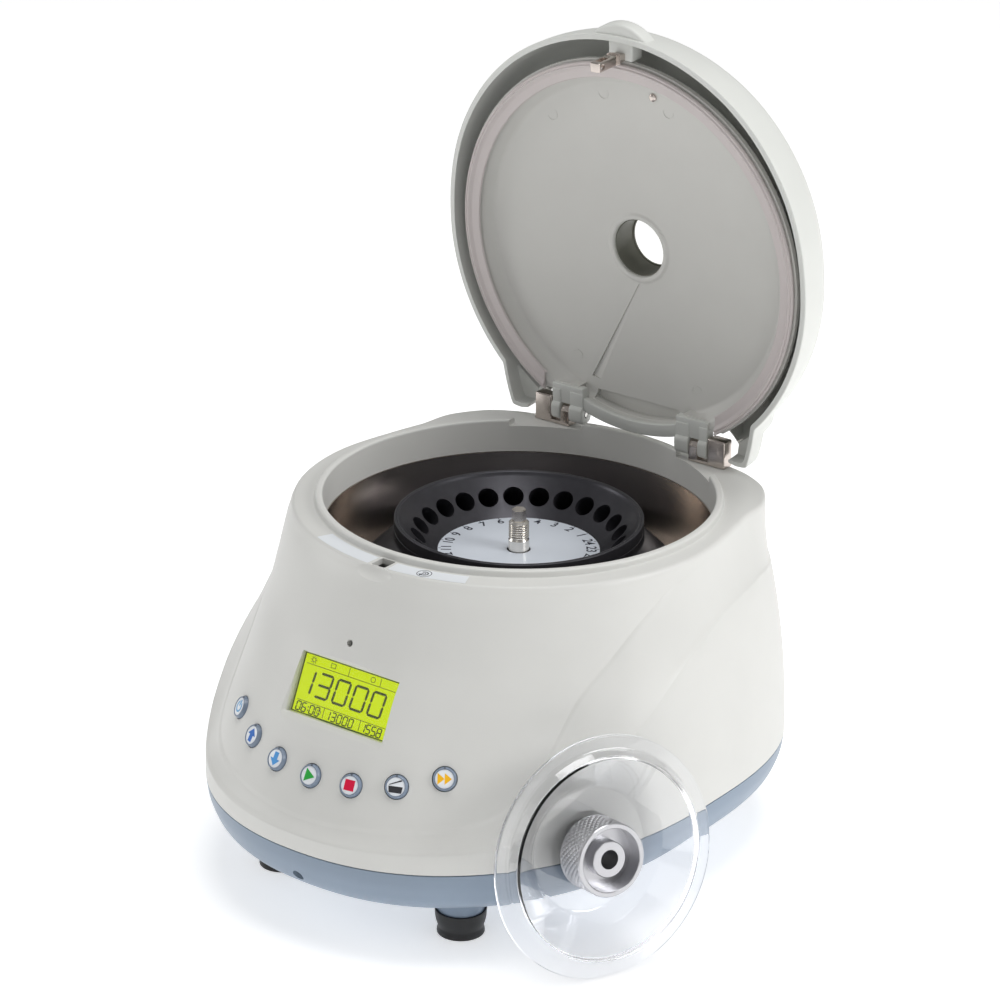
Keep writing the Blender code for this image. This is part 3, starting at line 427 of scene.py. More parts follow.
LABEL = plastic("rotor_label_film", (0.62, 0.66, 0.72), 0.35)
CLEAR = new_material("clear_plastic", (0.955, 0.96, 0.975), 0.03, 0.0, Transmission_Weight=1.0, IOR=1.33,
                     Coat_Weight=0.8, Coat_Roughness=0.03)
add_mottle(CLEAR, 0.05, 0.004)
CLEAR_PANE = clear_sheet("clear_pane", (0.99, 0.99, 0.98), 0.02)
LCD = new_material("lcd_panel", (0.05, 0.07, 0.0), 0.6, Emission_Color=(0.56, 0.70, 0.0, 1),
                   Emission_Strength=1.0, Specular_IOR_Level=0.1)
add_mottle(LCD, 0.04, 0.03)
LCD_INK = plastic("lcd_segments", (0.055, 0.08, 0.0), 0.6)
LCD_FRAME = plastic("lcd_frame", (0.06, 0.07, 0.02), 0.4)
BOARD = plastic("board_laminate", (0.04, 0.20, 0.09), 0.4, 0.1)
BLACK = plastic("black_plastic", (0.02, 0.02, 0.021), 0.4, 0.2)
COPPER = metal("copper_wire", (0.62, 0.30, 0.14), 0.35, 0.2, 0.6, 1.0)

SLOT_LOOKS = {"housing_plastic": HOUSING, "liner_plastic": LINER, "pan_plastic": PAN,
              "button_plastic": KEY_RING, "black_rubber": RUBBER, "seal_rubber": GASKET,
              "stainless": BOWL, "plated_steel": STEEL, "black_anodised": ANODISED,
              "satin_aluminium": ALUMINIUM, "label_film": LABEL, "clear_plastic": CLEAR,
              "lcd_panel": LCD, "circuit_board": BOARD, "black_plastic": BLACK, "copper_winding": COPPER}


def dress_cad_nodes():
    """Every CAD node gets its slot's material; the pieces below then replace the ones in view."""
    for entry in frame["record"]["subparts"]:
        mesh = frame["nodes"][entry["node"]].data
        mesh.materials.clear()
        mesh.materials.append(SLOT_LOOKS[entry["material_slot"]])


# ---- Housing surface, as in the CAD source -----------------------------------------------
Column = namedtuple("Column", "deck seam lower upper")
SEAM_Z = 51
SEAM_CENTRE_Y = 13
SEAM_HALF_WIDTH = 134
SEAM_FRONT = (171, 2.2)
SEAM_REAR = (140, 2.8)
SIDE_TAPER = 0.065
LEDGE = 0.7
LEDGE_FADE = 10
STEP = 0.6
HOLLOW = 3
DECK_Z = 181
DECK_EDGE = ((0, 118.5), (30, 118.3), (60, 118), (85, 117), (102, 115.5), (115, 118), (126, 127),
             (135, 129), (142, 126.5), (150, 121), (162, 113), (180, 108.5))
BELL_FLARE = ((51, 1.0), (66, 0.92), (75, 0.86), (92, 0.72), (102, 0.63), (126, 0.42), (141, 0.28),
              (157, 0.17), (172, 0.07), (181, 0.0))
UPPER_CREASE = ((0, 67.5), (16, 70), (24, 72), (33, 77), (38, 86), (43, 102), (50, 126), (58, 141),
                (67, 157), (79, 171), (95, 177), (110, 178.5), (180, 179))
LOWER_CREASE = ((0, 61), (33, 64), (45, 80), (53, 95), (62, 110), (75, 130), (84, 139), (99, 149),
                (112, 151), (126, 148), (180, 148))
COLLAR_INNER = 101.8
COLLAR_OUTER = 106
COLLAR_TOP = 184.6
COLLAR_BOTTOM = 166.4


def curve_value(points, x):
    """Smooth curve through (x, y) points, flat past both ends."""
    if x <= points[0][0]:
        return points[0][1]
    if x >= points[-1][0]:
        return points[-1][1]
    slopes = [0.0]
    for before, here, after in zip(points, points[1:], points[2:]):
        rise_in = (here[1] - before[1]) / (here[0] - before[0])
        rise_out = (after[1] - here[1]) / (after[0] - here[0])
        slopes.append(0.0 if rise_in * rise_out <= 0 else 2 * rise_in * rise_out / (rise_in + rise_out))
    slopes.append(0.0)
    for i in range(len(points) - 1):
        if x <= points[i + 1][0]:
            span = points[i + 1][0] - points[i][0]
            t = (x - points[i][0]) / span
            return ((1 + 2 * t) * (1 - t) ** 2 * points[i][1] + t * (1 - t) ** 2 * span * slopes[i]
                    + t * t * (3 - 2 * t) * points[i + 1][1] + t * t * (t - 1) * span * slopes[i + 1])


def fold_degrees(angle):
    """Angle from the front in degrees, the same on both sides."""
    degrees = abs(math.degrees(angle)) % 360
    return 360 - degrees if degrees > 180 else degrees


def seam_radius(angle):
    """Distance from the spindle to the seam outline, by halving the interval it lies in."""
    low, high = 50, 250
    for _ in range(26):
        middle = (low + high) / 2
        x = middle * math.sin(angle)
        y = SEAM_CENTRE_Y - middle * math.cos(angle)
        depth, power = SEAM_FRONT if y < 0 else SEAM_REAR
        if (abs(x) / SEAM_HALF_WIDTH) ** power + (abs(y) / depth) ** power > 1:
            high = middle
        else:
            low = middle
    return low


def wall_column(angle):
    """Deck radius, seam radius and the heights of both creases at an angle."""
    degrees = fold_degrees(angle)
    return Column(curve_value(DECK_EDGE, degrees), seam_radius(angle),
                  curve_value(LOWER_CREASE, degrees), curve_value(UPPER_CREASE, degrees))


def wall_radius(column, z):
    """Outside of the housing: bell above the hollow band, upright wall below it."""
    deck, seam, lower, upper = column
    flare = deck + curve_value(BELL_FLARE, max(z, upper)) * (seam - deck)
    if z >= upper:
        ledge = LEDGE * min(1, max(0, (DECK_Z - 3 - upper) / LEDGE_FADE))
        return flare - ledge * math.exp((upper - z) / LEDGE_FADE)
    side = seam * (1 - SIDE_TAPER * ((min(z, lower) - SEAM_Z) / 90) ** 2)
    if z <= lower:
        return side
    share = (z - lower) / (upper - lower)
    return (1 - share) * (side - STEP) + share * flare - HOLLOW * share * (1 - share)


def soft_radius(column, z):
    """The wall with its creases rounded over a few millimetres."""
    spread = (-0.8, -0.4, 0, 0.4, 0.8)
    return sum(wall_radius(column, min(max(z + d, SEAM_Z), DECK_Z)) for d in spread) / len(spread)


def shell_point(angle, z):
    return polar(angle, soft_radius(wall_column(angle), z), z)


def shell_frame(angle, z):
    """Axes on the housing wall: across, up the wall, and out of it."""
    turn = 0.016
    along = shell_point(angle + turn, z) - shell_point(angle - turn, z)
    rise = shell_point(angle, z + 2) - shell_point(angle, z - 2)
    out = along.cross(rise).normalized()
    across = Vector((0, 0, 1)).cross(out).normalized()
    matrix = Matrix((across, out.cross(across), out)).transposed().to_4x4()
    matrix.translation = shell_point(angle, z)
    return matrix


# ---- Upper housing -----------------------------------------------------------------------
WALL_COLUMNS = turn_angles(240)
WALL = 3
WALL_FOOT = 51.3
WALL_BRINK = 178.4
CUT_LENGTH = 30

DISPLAY_CENTRE = Vector((0, -143.5, 120))
DISPLAY_TILT = math.radians(24.7)
DISPLAY_WIDTH = 61.3
DISPLAY_HEIGHT = 30.6
DISPLAY_PLACE = Matrix.Translation(DISPLAY_CENTRE) @ Matrix.Rotation(math.pi / 2 - DISPLAY_TILT, 4, "X")
SOUNDER_ANGLE = math.radians(-1.1)
SOUNDER_Z = 145
SOUNDER_R = 1.8

BUTTON_R = 6.0
BUTTON_PLACES = range(-3, 4)
BUTTON_STEP = math.radians(8.1)
BUTTON_Z = 86
BUTTON_RISE = 1.02

LATCH_Y = -111.2
SCOOP_CENTRE = Vector((0, -130.4, DECK_Z + 2))
SCOOP_RADII = (22, 14.2, 9.5)

REAR_Z = 84
INLET_ANGLE = math.radians(210)
SWITCH_ANGLE = math.radians(192)
FAN_CENTRE = Vector((43, 103.4, 82))
VENT_ROWS = 5
VENT_PITCH = 8


def button_place(place):
    """Frame of a button seat on the front; the row rises slightly towards its ends."""
    return shell_frame(BUTTON_STEP * place, BUTTON_Z + BUTTON_RISE * place * place)


def display_backing():
    """Thicker patch of wall behind the display, which the display seat is cut into."""
    angles = [math.radians(i) for i in range(-15, 16)]
    rings = []
    for z in range(94, 148, 2):
        outer = [polar(a, soft_radius(wall_column(a), z) - 1, z) for a in angles]
        inner = [polar(a, soft_radius(wall_column(a), z) - 11, z) for a in reversed(angles)]
        rings.append(outer + inner)
    return loft(rings, capped=True)


def latch_scoop(margin):
    """Flattened ball that hollows a finger scoop out of the deck edge in front of the latch slot."""
    scoop = bmesh.new()
    bmesh.ops.create_uvsphere(scoop, u_segments=72, v_segments=60, radius=1)
    for vertex in scoop.verts:
        vertex.co.z = math.copysign(abs(vertex.co.z) ** 0.6, vertex.co.z)
    bmesh.ops.scale(scoop, vec=[radius + margin for radius in SCOOP_RADII], verts=scoop.verts)
    return moved(scoop, SCOOP_CENTRE)


def band_heights(low, high, count):
    """Heights from one crease to the next, the outer ones close beside the creases."""
    edge = min(0.8, (high - low) / 4)
    inner = [low + edge + (high - low - 2 * edge) * i / count for i in range(count + 1)]
    return [low, low + edge / 2] + inner + [high - edge / 2]


def wall_heights(column):
    """Rows of the outside wall at one column, which run along both creases."""
    upper = min(column.upper, WALL_BRINK - 0.8)
    return (band_heights(WALL_FOOT, column.lower, 12) + band_heights(column.lower, upper, 16)
            + band_heights(upper, WALL_BRINK, 54) + [WALL_BRINK])


def wall_ring(radii, z):
    """Ring of the housing or the pan at one height, by the radius at each column."""
    return [polar(a, r, z) for a, r in zip(WALL_COLUMNS, radii)]


def make_housing():
    """Skin up the outside, over the deck, down the collar and back down the inside, then the openings."""
    columns = [wall_column(angle) for angle in WALL_COLUMNS]
    heights = [wall_heights(column) for column in columns]
    rings = []
    for row in range(len(heights[0])):
        rings.append([polar(a, soft_radius(c, z[row]), z[row])
                      for a, c, z in zip(WALL_COLUMNS, columns, heights)])
    for inset, z in ((0.15, 179.4), (0.55, 180.25), (1.2, 180.8), (2.1, 181)):
        rings.append(wall_ring([c.deck - inset for c in columns], z))
    collar = rounded_path([(COLLAR_OUTER + 1.4, DECK_Z), (COLLAR_OUTER, DECK_Z, 1.2),
                           (COLLAR_OUTER - 0.4, COLLAR_TOP, 1.3), (COLLAR_INNER, COLLAR_TOP, 1.3),
                           (COLLAR_INNER, COLLAR_BOTTOM), (COLLAR_INNER + 2, COLLAR_BOTTOM),
                           (COLLAR_INNER + 2, DECK_Z - WALL)])
    rings += [wall_ring([r] * len(columns), z) for r, z in collar]
    rings.append(wall_ring([max(c.deck - WALL, COLLAR_INNER + WALL) for c in columns], DECK_Z - WALL))
    for z in (*range(160, 59, -10), WALL_FOOT):
        rings.append(wall_ring([wall_radius(c, z) - WALL for c in columns], z))
    housing = piece("upper_housing_body", loft(rings), HOUSING, "base",
                    ("upper_housing",))
    cut_display_seat(housing)
    reshape(housing, merged(wall_holes()))
    notches = [block((35, 50, 20), (side * 48.5, 100, DECK_Z + 10.02), 0.6) for side in (-1, 1)]
    reshape(housing, merged(notches))
    reshape(housing, latch_scoop(0))
    studs = [rod(2.8, 20, (side * HINGE_STUD.x, HINGE_STUD.y, DECK_Z)) for side in (-1, 1)]
    reshape(housing, merged(studs))


def cut_display_seat(housing):
    """Opening for the display, at the bottom of a recess whose sides flare out softly."""
    reshape(housing, display_backing(), "UNION")
    recess = []
    for out, grow in ((-0.2, 0), (1.0, 0), (1.5, 0.15), (2.0, 0.6), (3.2, 2.2), (5, 5.2), (12, 18)):
        margin = 0.6 + 2 * grow
        outline = rounded_outline(DISPLAY_WIDTH + margin, DISPLAY_HEIGHT + margin, 1 + grow)
        recess.append([Vector((x, y, out)) for x, y in outline])
    reshape(housing, loft(recess, capped=True), place=DISPLAY_PLACE)
    reshape(housing, block((DISPLAY_WIDTH + 0.4, DISPLAY_HEIGHT + 0.4, CUT_LENGTH)), place=DISPLAY_PLACE)


def wall_holes():
    """Cutters for the keys, the sounder, the latch slot, the fan's vents, the inlet and the switch."""
    holes = [moved(rod(BUTTON_R + 0.35, 20), turn=button_place(place)) for place in BUTTON_PLACES]
    holes.append(moved(rod(SOUNDER_R, 20), turn=shell_frame(SOUNDER_ANGLE, SOUNDER_Z)))
    holes.append(moved(rounded_box_hole(8.4, 9.2, 0.8), (0, LATCH_Y, DECK_Z)))
    for row in range(VENT_ROWS):
        spot = (FAN_CENTRE.x, 126, FAN_CENTRE.z + (row - (VENT_ROWS - 1) / 2) * VENT_PITCH)
        holes.append(moved(rounded_box_hole(38, 3.4, 1.6), spot, quarter_turn("X")))
    for width, height, angle in ((28, 20.5, INLET_ANGLE), (13.6, 19.6, SWITCH_ANGLE)):
        holes.append(moved(block((width, height, CUT_LENGTH)), turn=shell_frame(angle, REAR_Z)))
    return holes


def rounded_box_hole(width, height, radius):
    return prism(rounded_outline(width, height, radius), -CUT_LENGTH / 2, CUT_LENGTH / 2)


# ---- Base pan, feet and screws -----------------------------------------------------------
FOOT_PLACES = {"foot_front_left": (-58.9, -123.5), "foot_front_right": (58.9, -123.5),
               "foot_rear_left": (-72, 78), "foot_rear_right": (72, 78)}
PAN_TOP = 50.8
PAN_BOTTOM = 24
SCREW_ANGLES = [math.radians(a) for a in (0, 63, 180, 297)]


def make_pan():
    """Shallow tray whose rim follows the seam, with a boss over each foot."""
    seams = [seam_radius(angle) for angle in WALL_COLUMNS]
    section = rounded_path([(0.8, PAN_TOP), (0, PAN_TOP, 0.5), (1, 43, 3), (5, 33, 5), (12, 26.5, 5),
                            (24, PAN_BOTTOM)], 5)
    rings = [wall_ring([seam - inset for seam in seams], z) for inset, z in section]
    rings += [wall_ring([20] * len(seams), z) for z in (PAN_BOTTOM, PAN_BOTTOM + WALL)]
    for inset, z in reversed(section[3:]):
        rings.append(wall_ring([seam - inset - WALL for seam in seams], max(z, PAN_BOTTOM + WALL)))
    rings.append(wall_ring([seam - WALL for seam in seams], PAN_TOP))
    pan = piece("base_pan_body", loft(rings), PAN, "base", ("base_pan",))
    bosses = [rod(12, 14.2, (x, y, 17.9), bevel=0.8, segments=64) for x, y in FOOT_PLACES.values()]
    reshape(pan, merged(bosses), "UNION")
    seats = [rod(3.2, 20, screw_seat(angle), screw_axis(angle)) for angle in SCREW_ANGLES]
    reshape(pan, merged(seats))


def screw_seat(angle):
    return polar(angle, seam_radius(angle) - 4.5, 35)


def screw_axis(angle):
    """Direction into the pan, up and towards the spindle."""
    return polar(angle, -0.8, 0.6)


def make_pan_screws():
    """Cross-head screws whose shanks point up into the housing."""
    profile = rounded_path([(0, 1.5), (1.4, 1.5), (2.8, 0.9, 0.5), (2.8, -1.5, 0.3), (1.5, -1.5),
                            (1.5, -12), (0, -12)])
    for number, angle in enumerate(SCREW_ANGLES, 1):
        turn = aimed(-screw_axis(angle))
        turn.translation = screw_seat(angle) + screw_axis(angle) * 4
        head = piece(f"pan_screw_{number}_body", lathe(profile, 40), NICKEL, "base",
                     (f"pan_screw_{number}",), turn)
        for slot in ((3.2, 0.8, 2.4), (0.8, 3.2, 2.4)):
            reshape(head, block(slot, (0, 0, 1.6)), place=turn)


def make_feet():
    """Rubber feet, each waisted above its flat sole and closed round the boss on top."""
    profile = rounded_path([(0, 0), (11.2, 0), (12.2, 0, 0.5), (12.1, 1.6, 0.4), (11.5, 3.6, 0.8),
                            (12.9, 8, 2), (13.2, 13.5, 0.6), (12.3, 13.5), (12.3, 10.4), (0, 10.4)])
    for name, (x, y) in FOOT_PLACES.items():
        piece(name + "_body", lathe(profile, 72), RUBBER, "base", (name,),
              Matrix.Translation((x, y, 0)))


# ---- Chamber and rotor -------------------------------------------------------------------
TUBE_COUNT = 24
TUBE_PITCH_R = 51.9
TUBE_MOUTH_Z = 160.4
TUBE_PHASE = math.radians(10.4)
TUBE_TILT = math.radians(45)
TUBE_R = 5.55
TUBE_RIM_R = 6.0
TUBE_DEPTH = 40
SPINDLE_R = 5.5
THREAD_R = 5.35
THREAD_ROOT_R = 4.75
THREAD_COUNT = 7
THREAD_PITCH = 1.25
LABEL_START = math.radians(217)
LABEL_STEP = 2 * math.pi / TUBE_COUNT
LABEL_FIRST = 5
LABEL_INK_Z = 151.79
INK_DEPTH = 0.05


def tube_place(number):
    """Frame at a tube mouth with Z out of the hole."""
    angle = TUBE_PHASE + 2 * math.pi * number / TUBE_COUNT
    matrix = aimed(polar(angle, -math.sin(TUBE_TILT), math.cos(TUBE_TILT)))
    matrix.translation = polar(angle, TUBE_PITCH_R, TUBE_MOUTH_Z)
    return matrix


def make_chamber():
    """Stainless bowl with a turned-out rim, and the armour ring outside it."""
    bowl = rounded_path([(101.4, 166.1), (106.6, 166.1), (106.6, 165), (102.6, 165), (99.8, 111, 6),
                         (93, 102.8, 5), (24, 102.8), (24, 104), (92.6, 104, 5), (98.6, 111.2, 6)], 6)
    piece("chamber_bowl_body", lathe(bowl, 192), BOWL, "base", ("chamber_bowl",))
    ring = rounded_path([(106.8, 163), (106.8, 108), (103.6, 108), (103.6, 163)])
    piece("safety_ring_body", lathe(ring, 96), STEEL, "base", ("safety_ring",))


def make_rotor():
    """Turned body with a cone round the label, a lip above the tubes and a skirt below them."""
    profile = rounded_path([(5.8, 151), (43, 151, 0.6), (61.5, 168.7, 1.0), (62.6, 170.2, 0.6),
                            (63.4, 170.2), (63.7, 169.9), (64.0, 170.2), (65, 170.2, 0.5), (65, 165),
                            (64.7, 164.8), (64.7, 164.2), (65, 164), (65, 160, 1.0), (86, 139, 1.6),
                            (86, 127, 1.6), (80, 122, 1), (60, 122), (48, 130), (22, 130), (20, 118),
                            (4.3, 118), (4.3, 141), (5.8, 141)])
    rotor = piece("rotor_body", lathe(profile, 192), ANODISED, "drive_rotor", ("rotor",))
    tube = [(0, 6), (TUBE_RIM_R, 6), (TUBE_RIM_R, 0.25), (TUBE_R, -0.25), (TUBE_R, -TUBE_DEPTH),
            (0, -TUBE_DEPTH)]
    tubes = [moved(lathe(tube, 40), turn=tube_place(number)) for number in range(TUBE_COUNT)]
    for half in (tubes[::2], tubes[1::2]):
        reshape(rotor, merged(half))


def text_mesh(words, size, depth):
    """Built-in type pulled up to a depth, centred on its own origin."""
    curve = bpy.data.curves.new("type", "FONT")
    curve.body = words
    curve.size = size
    curve.extrude = depth / 2
    curve.offset = size * 0.012
    curve.align_x = "CENTER"
    curve.align_y = "CENTER"
    holder = bpy.data.objects.new("type", curve)
    bpy.context.scene.collection.objects.link(holder)
    bpy.context.view_layer.update()
    shape = bpy.data.meshes.new_from_object(holder.evaluated_get(bpy.context.evaluated_depsgraph_get()))
    bm = bmesh.new()
    bm.from_mesh(shape)
    bmesh.ops.remove_doubles(bm, verts=bm.verts, dist=1e-4)
    bpy.data.objects.remove(holder, do_unlink=True)
    bpy.data.meshes.remove(shape)
    return bm


def make_rotor_label():
    """Round film in the rotor's middle with a number and a tick for every tube."""
    label = lathe(rounded_path([(42.3, 151.3), (42.3, 151.75, 0.1), (6.2, 151.75, 0.1), (6.2, 151.3)]), 128)
    piece("rotor_label_film", label, LABEL, "drive_rotor", ("rotor_label",))
    marks = []
    for number in range(TUBE_COUNT):
        angle = LABEL_START + number * LABEL_STEP
        digits = text_mesh(str((number + LABEL_FIRST - 1) % TUBE_COUNT + 1), 7.6, INK_DEPTH)
        upright = Matrix.Rotation(angle + math.pi, 4, "Z")
        marks.append(moved(digits, polar(angle, 37.6, LABEL_INK_Z), upright))
        tick = block((0.35, 1.4, INK_DEPTH))
        marks.append(moved(tick, polar(angle, 41.3, LABEL_INK_Z), Matrix.Rotation(angle, 4, "Z")))
    piece("rotor_label_print", merged(marks), INK, "drive_rotor")


def make_spindle():
    """Threaded end of the spindle with its hexagon tip."""
    profile = [(0, 168.0), (4.2, 168.0), (THREAD_ROOT_R, 167.4)]
    for thread in range(THREAD_COUNT):
        top = 166.9 - THREAD_PITCH * thread
        profile += [(THREAD_R, top - 0.1), (THREAD_R, top - 0.35), (THREAD_ROOT_R, top - 0.95)]
    profile += [(SPINDLE_R, 157.4), (SPINDLE_R, 151.9), (SPINDLE_R, 141.5), (0, 141.5)]
    tip = bmesh.new()
    bmesh.ops.create_cone(tip, cap_ends=True, segments=6, radius1=3.9, radius2=3.9, depth=6.5)
    bmesh.ops.bevel(tip, geom=tip.edges[:], offset=0.35, segments=2, affect="EDGES")
    piece("rotor_bolt_body", lathe(profile, 72), SPINDLE_STEEL, "drive_rotor",
          ("rotor_bolt",))
    piece("rotor_bolt_hex", moved(tip, (0, 0, 171.0)), SPINDLE_STEEL, "drive_rotor")


# ---- Display and keys --------------------------------------------------------------------
LCD_FACE = -2.4
LCD_RAISE = 0.1
PANE_BACK = -1.96
DIGIT_SEGMENTS = {"0": "abcdef", "1": "bc", "3": "abcdg", "5": "acdfg", "6": "acdefg", "8": "abcdefg"}
SEGMENT_LINES = {"a": ((0, 2), (1, 2)), "b": ((1, 2), (1, 1)), "c": ((1, 1), (1, 0)), "d": ((0, 0), (1, 0)),
                 "e": ((0, 1), (0, 0)), "f": ((0, 2), (0, 1)), "g": ((0, 1), (1, 1))}
SEGMENT_RAISE = 0.12
SEGMENT_SLANT = 0.09
DISPLAY_FIELDS = (("06:00", -28.2, 3.5), ("13000", -9.2, 3.7), ("15581", 13.4, 3.4))


def segment_digit(digit, x, y, width, height, thick):
    """Seven-segment digit with its lower left corner at (x, y), as a list of bodies."""
    bodies = []
    for name in DIGIT_SEGMENTS[digit]:
        start, end = [Vector((px * width, py * height / 2)) for px, py in SEGMENT_LINES[name]]
        run = (end - start).normalized() * thick
        side = Vector((-run.y, run.x)) / 2
        start, end = start + run * 0.55, end - run * 0.55
        outline = [start - run / 2, start + side, end + side, end + run / 2, end - side, start - side]
        bodies.append(prism([(x + p.x + SEGMENT_SLANT * p.y, y + p.y) for p in outline],
                            LCD_FACE, LCD_FACE + SEGMENT_RAISE))
    return bodies


def segment_row(words, x, y, width, height, thick, pitch):
    """Row of digits from a lower left corner; a colon takes less than half the pitch."""
    bodies = []
    for letter in words:
        if letter == ":":
            for share in (0.3, 0.7):
                bodies.append(block((thick, thick, SEGMENT_RAISE),
                                    (x + thick, y + height * share, LCD_FACE + SEGMENT_RAISE / 2)))
            x += pitch * 0.45
            continue
        bodies += segment_digit(letter, x, y, width, height, thick)
        x += pitch
    return bodies


def strip(x0, y0, x1, y1, low=LCD_FACE, high=LCD_FACE + LCD_RAISE):
    """Thin bar between two corners."""
    return block((abs(x1 - x0), abs(y1 - y0), high - low), ((x0 + x1) / 2, (y0 + y1) / 2, (low + high) / 2))


def flat_ring(x, y, radius, width, low, high):
    """Thin ring about (x, y), inwards from its outer radius."""
    ring = lathe([(radius, high), (radius, low), (radius - width, low), (radius - width, high)], 40)
    return moved(ring, (x, y, 0))


def display_lines(half_w, low, top, half_h):
    """Lines that part the display into its rows and fields."""
    lines = [strip(-half_w + 2, y, half_w - 2, y + 0.3) for y in (low, top)]
    lines += [strip(x, top, x + 0.3, half_h - 0.9) for x in (-1.9, 18.2)]
    return lines + [strip(x, -half_h + 0.9, x + 0.3, low) for x in (-10.8, 12.4)]


def display_symbols(low, top):
    """Sun, box and round mark over the digits, and a small clock beside the time."""
    sun = (-24.6, top + 2.6)
    symbols = [flat_ring(x, y, radius, width, LCD_FACE, LCD_FACE + LCD_RAISE) for x, y, radius, width in
               ((*sun, 1.2, 0.35), (13.5, top + 2.5, 1.5, 0.3), (-13.6, low, 1.3, 0.3))]
    for ray in range(8):
        beam = block((0.28, 0.7, 0.1), (0, 1.75, 0))
        symbols.append(moved(beam, (*sun, LCD_FACE + 0.06), Matrix.Rotation(math.pi / 4 * ray, 4, "Z")))
    symbols += [strip(-13.6, top + y, -10.4, top + y + 0.3) for y in (1.5, 3.6)]
    symbols += [strip(x, top + 1.5, x + 0.3, top + 3.9) for x in (-13.6, -10.7)]
    return symbols + [strip(-13.75, low, -13.45, low + 1)]


def make_display():
    """Lit panel with its segments and symbols, the pane in front and a dark frame between them."""
    half_w, half_h = DISPLAY_WIDTH / 2 - 0.2, DISPLAY_HEIGHT / 2 - 0.2
    panel = block((2 * half_w, 2 * half_h, 5.8), (0, 0, LCD_FACE - 2.9), 0.2)
    piece("display_panel", panel, LCD, "base", ("display_module",), DISPLAY_PLACE)
    top = half_h - 5.4
    lines = display_lines(half_w, -half_h + 6.1, top, half_h) + display_symbols(-half_h + 3.2, top)
    lines += segment_row("13000", -30.2, -5.0, 7.8, 12.0, 1.3, 11.3)
    for words, x, pitch in DISPLAY_FIELDS:
        lines += segment_row(words, x, -half_h + 1.0, 2.5, 4.4, 0.62, pitch)
    piece("display_segments", merged(lines), LCD_INK, "base", (), DISPLAY_PLACE)

    pane = prism(rounded_outline(DISPLAY_WIDTH, DISPLAY_HEIGHT, 0.6), -1.95, -0.5, 0.15)
    piece("display_pane", pane, CLEAR_PANE, "base", ("display_window",), DISPLAY_PLACE)
    border = [strip(-half_w, y, half_w, y + 0.5, LCD_FACE, PANE_BACK) for y in (-half_h, half_h - 0.5)]
    border += [strip(x, -half_h + 0.5, x + 0.5, half_h - 0.5, LCD_FACE, PANE_BACK)
               for x in (-half_w, half_w - 0.5)]
    piece("display_frame", merged(border), LCD_FRAME, "base", (), DISPLAY_PLACE)


def arrow_outline(direction):
    shape = [(0, 3.1), (2.9, 0.1), (1.2, 0.1), (1.2, -2.9), (-1.2, -2.9), (-1.2, 0.1), (-2.9, 0.1)]
    return [(x * direction, y * direction) for x, y in shape]


KEYS = (("power", (0.12, 0.36, 0.62), [arc_outline(2.6, 1.8, 120, 300, 24),
                                       [(-0.45, 0.3), (0.45, 0.3), (0.45, 3.1), (-0.45, 3.1)]]),
        ("up", (0.008, 0.13, 0.50), [arrow_outline(1)]),
        ("down", (0.06, 0.30, 0.68), [arrow_outline(-1)]),
        ("start", (0.02, 0.38, 0.05), [[(-1.9, 2.8), (-1.9, -2.8), (3.0, 0)]]),
        ("stop", (0.68, 0.0, 0.045), [[(-2.3, -2.3), (2.3, -2.3), (2.3, 2.3), (-2.3, 2.3)]]),
        ("lid", (0.015, 0.015, 0.02), [[(-2.7, -2.6), (2.7, -2.6), (3.1, 0.1), (-3.1, 0.1)],
                                       [(-3.1, 0.7), (-2.7, 0.5), (2.5, 2.5), (2.1, 3.0)]]),
        ("short_spin", (0.94, 0.50, 0.0), [[(-2.9, 2.4), (-2.9, -2.4), (0.1, 0)],
                                           [(0.1, 2.4), (0.1, -2.4), (3.1, 0)]]))
SYMBOL_SCALE = 1.18


def make_keys():
    """Seven keys, each a ring round a pale face with a coloured symbol and a dot on the rim."""
    ring = rounded_path([(4.72, 1.45), (4.72, 1.9, 0.15), (5.25, 1.9, 0.25), (5.8, 0.5, 0.6),
                         (BUTTON_R, -0.4, 0.3), (BUTTON_R, -6), (4.72, -6)])
    face = rounded_path([(0, 1.72), (4.7, 1.66, 0.3), (4.7, 0.2), (0, 0.2)])
    for place, (name, colour, shapes) in zip(BUTTON_PLACES, KEYS):
        seat = button_place(place)
        node = f"button_{name}"
        body = node + "_key"
        piece(node + "_ring", lathe(ring, 72), KEY_RING, body, (node,), seat)
        piece(node + "_face", lathe(face, 72), KEY_FACE, body, (), seat)
        outlines = [[(x * SYMBOL_SCALE, y * SYMBOL_SCALE) for x, y in shape] for shape in shapes]
        symbol = merged([prism(outline, 1.6, 1.78) for outline in outlines])
        piece(node + "_symbol", symbol, plastic(f"ink_{name}", colour, 0.35), body, (), seat)
        dot = rod(0.55, 0.5, (0, 5.25, 1.75), bevel=0.1, segments=20)
        piece(node + "_dot", dot, KEY_DOT, body, (), seat)


# ---- Print on the deck -------------------------------------------------------------------
FILM_LOW = DECK_Z + 0.02
FILM_TOP = DECK_Z + 0.12
PRINT_TOP = FILM_TOP + 0.04


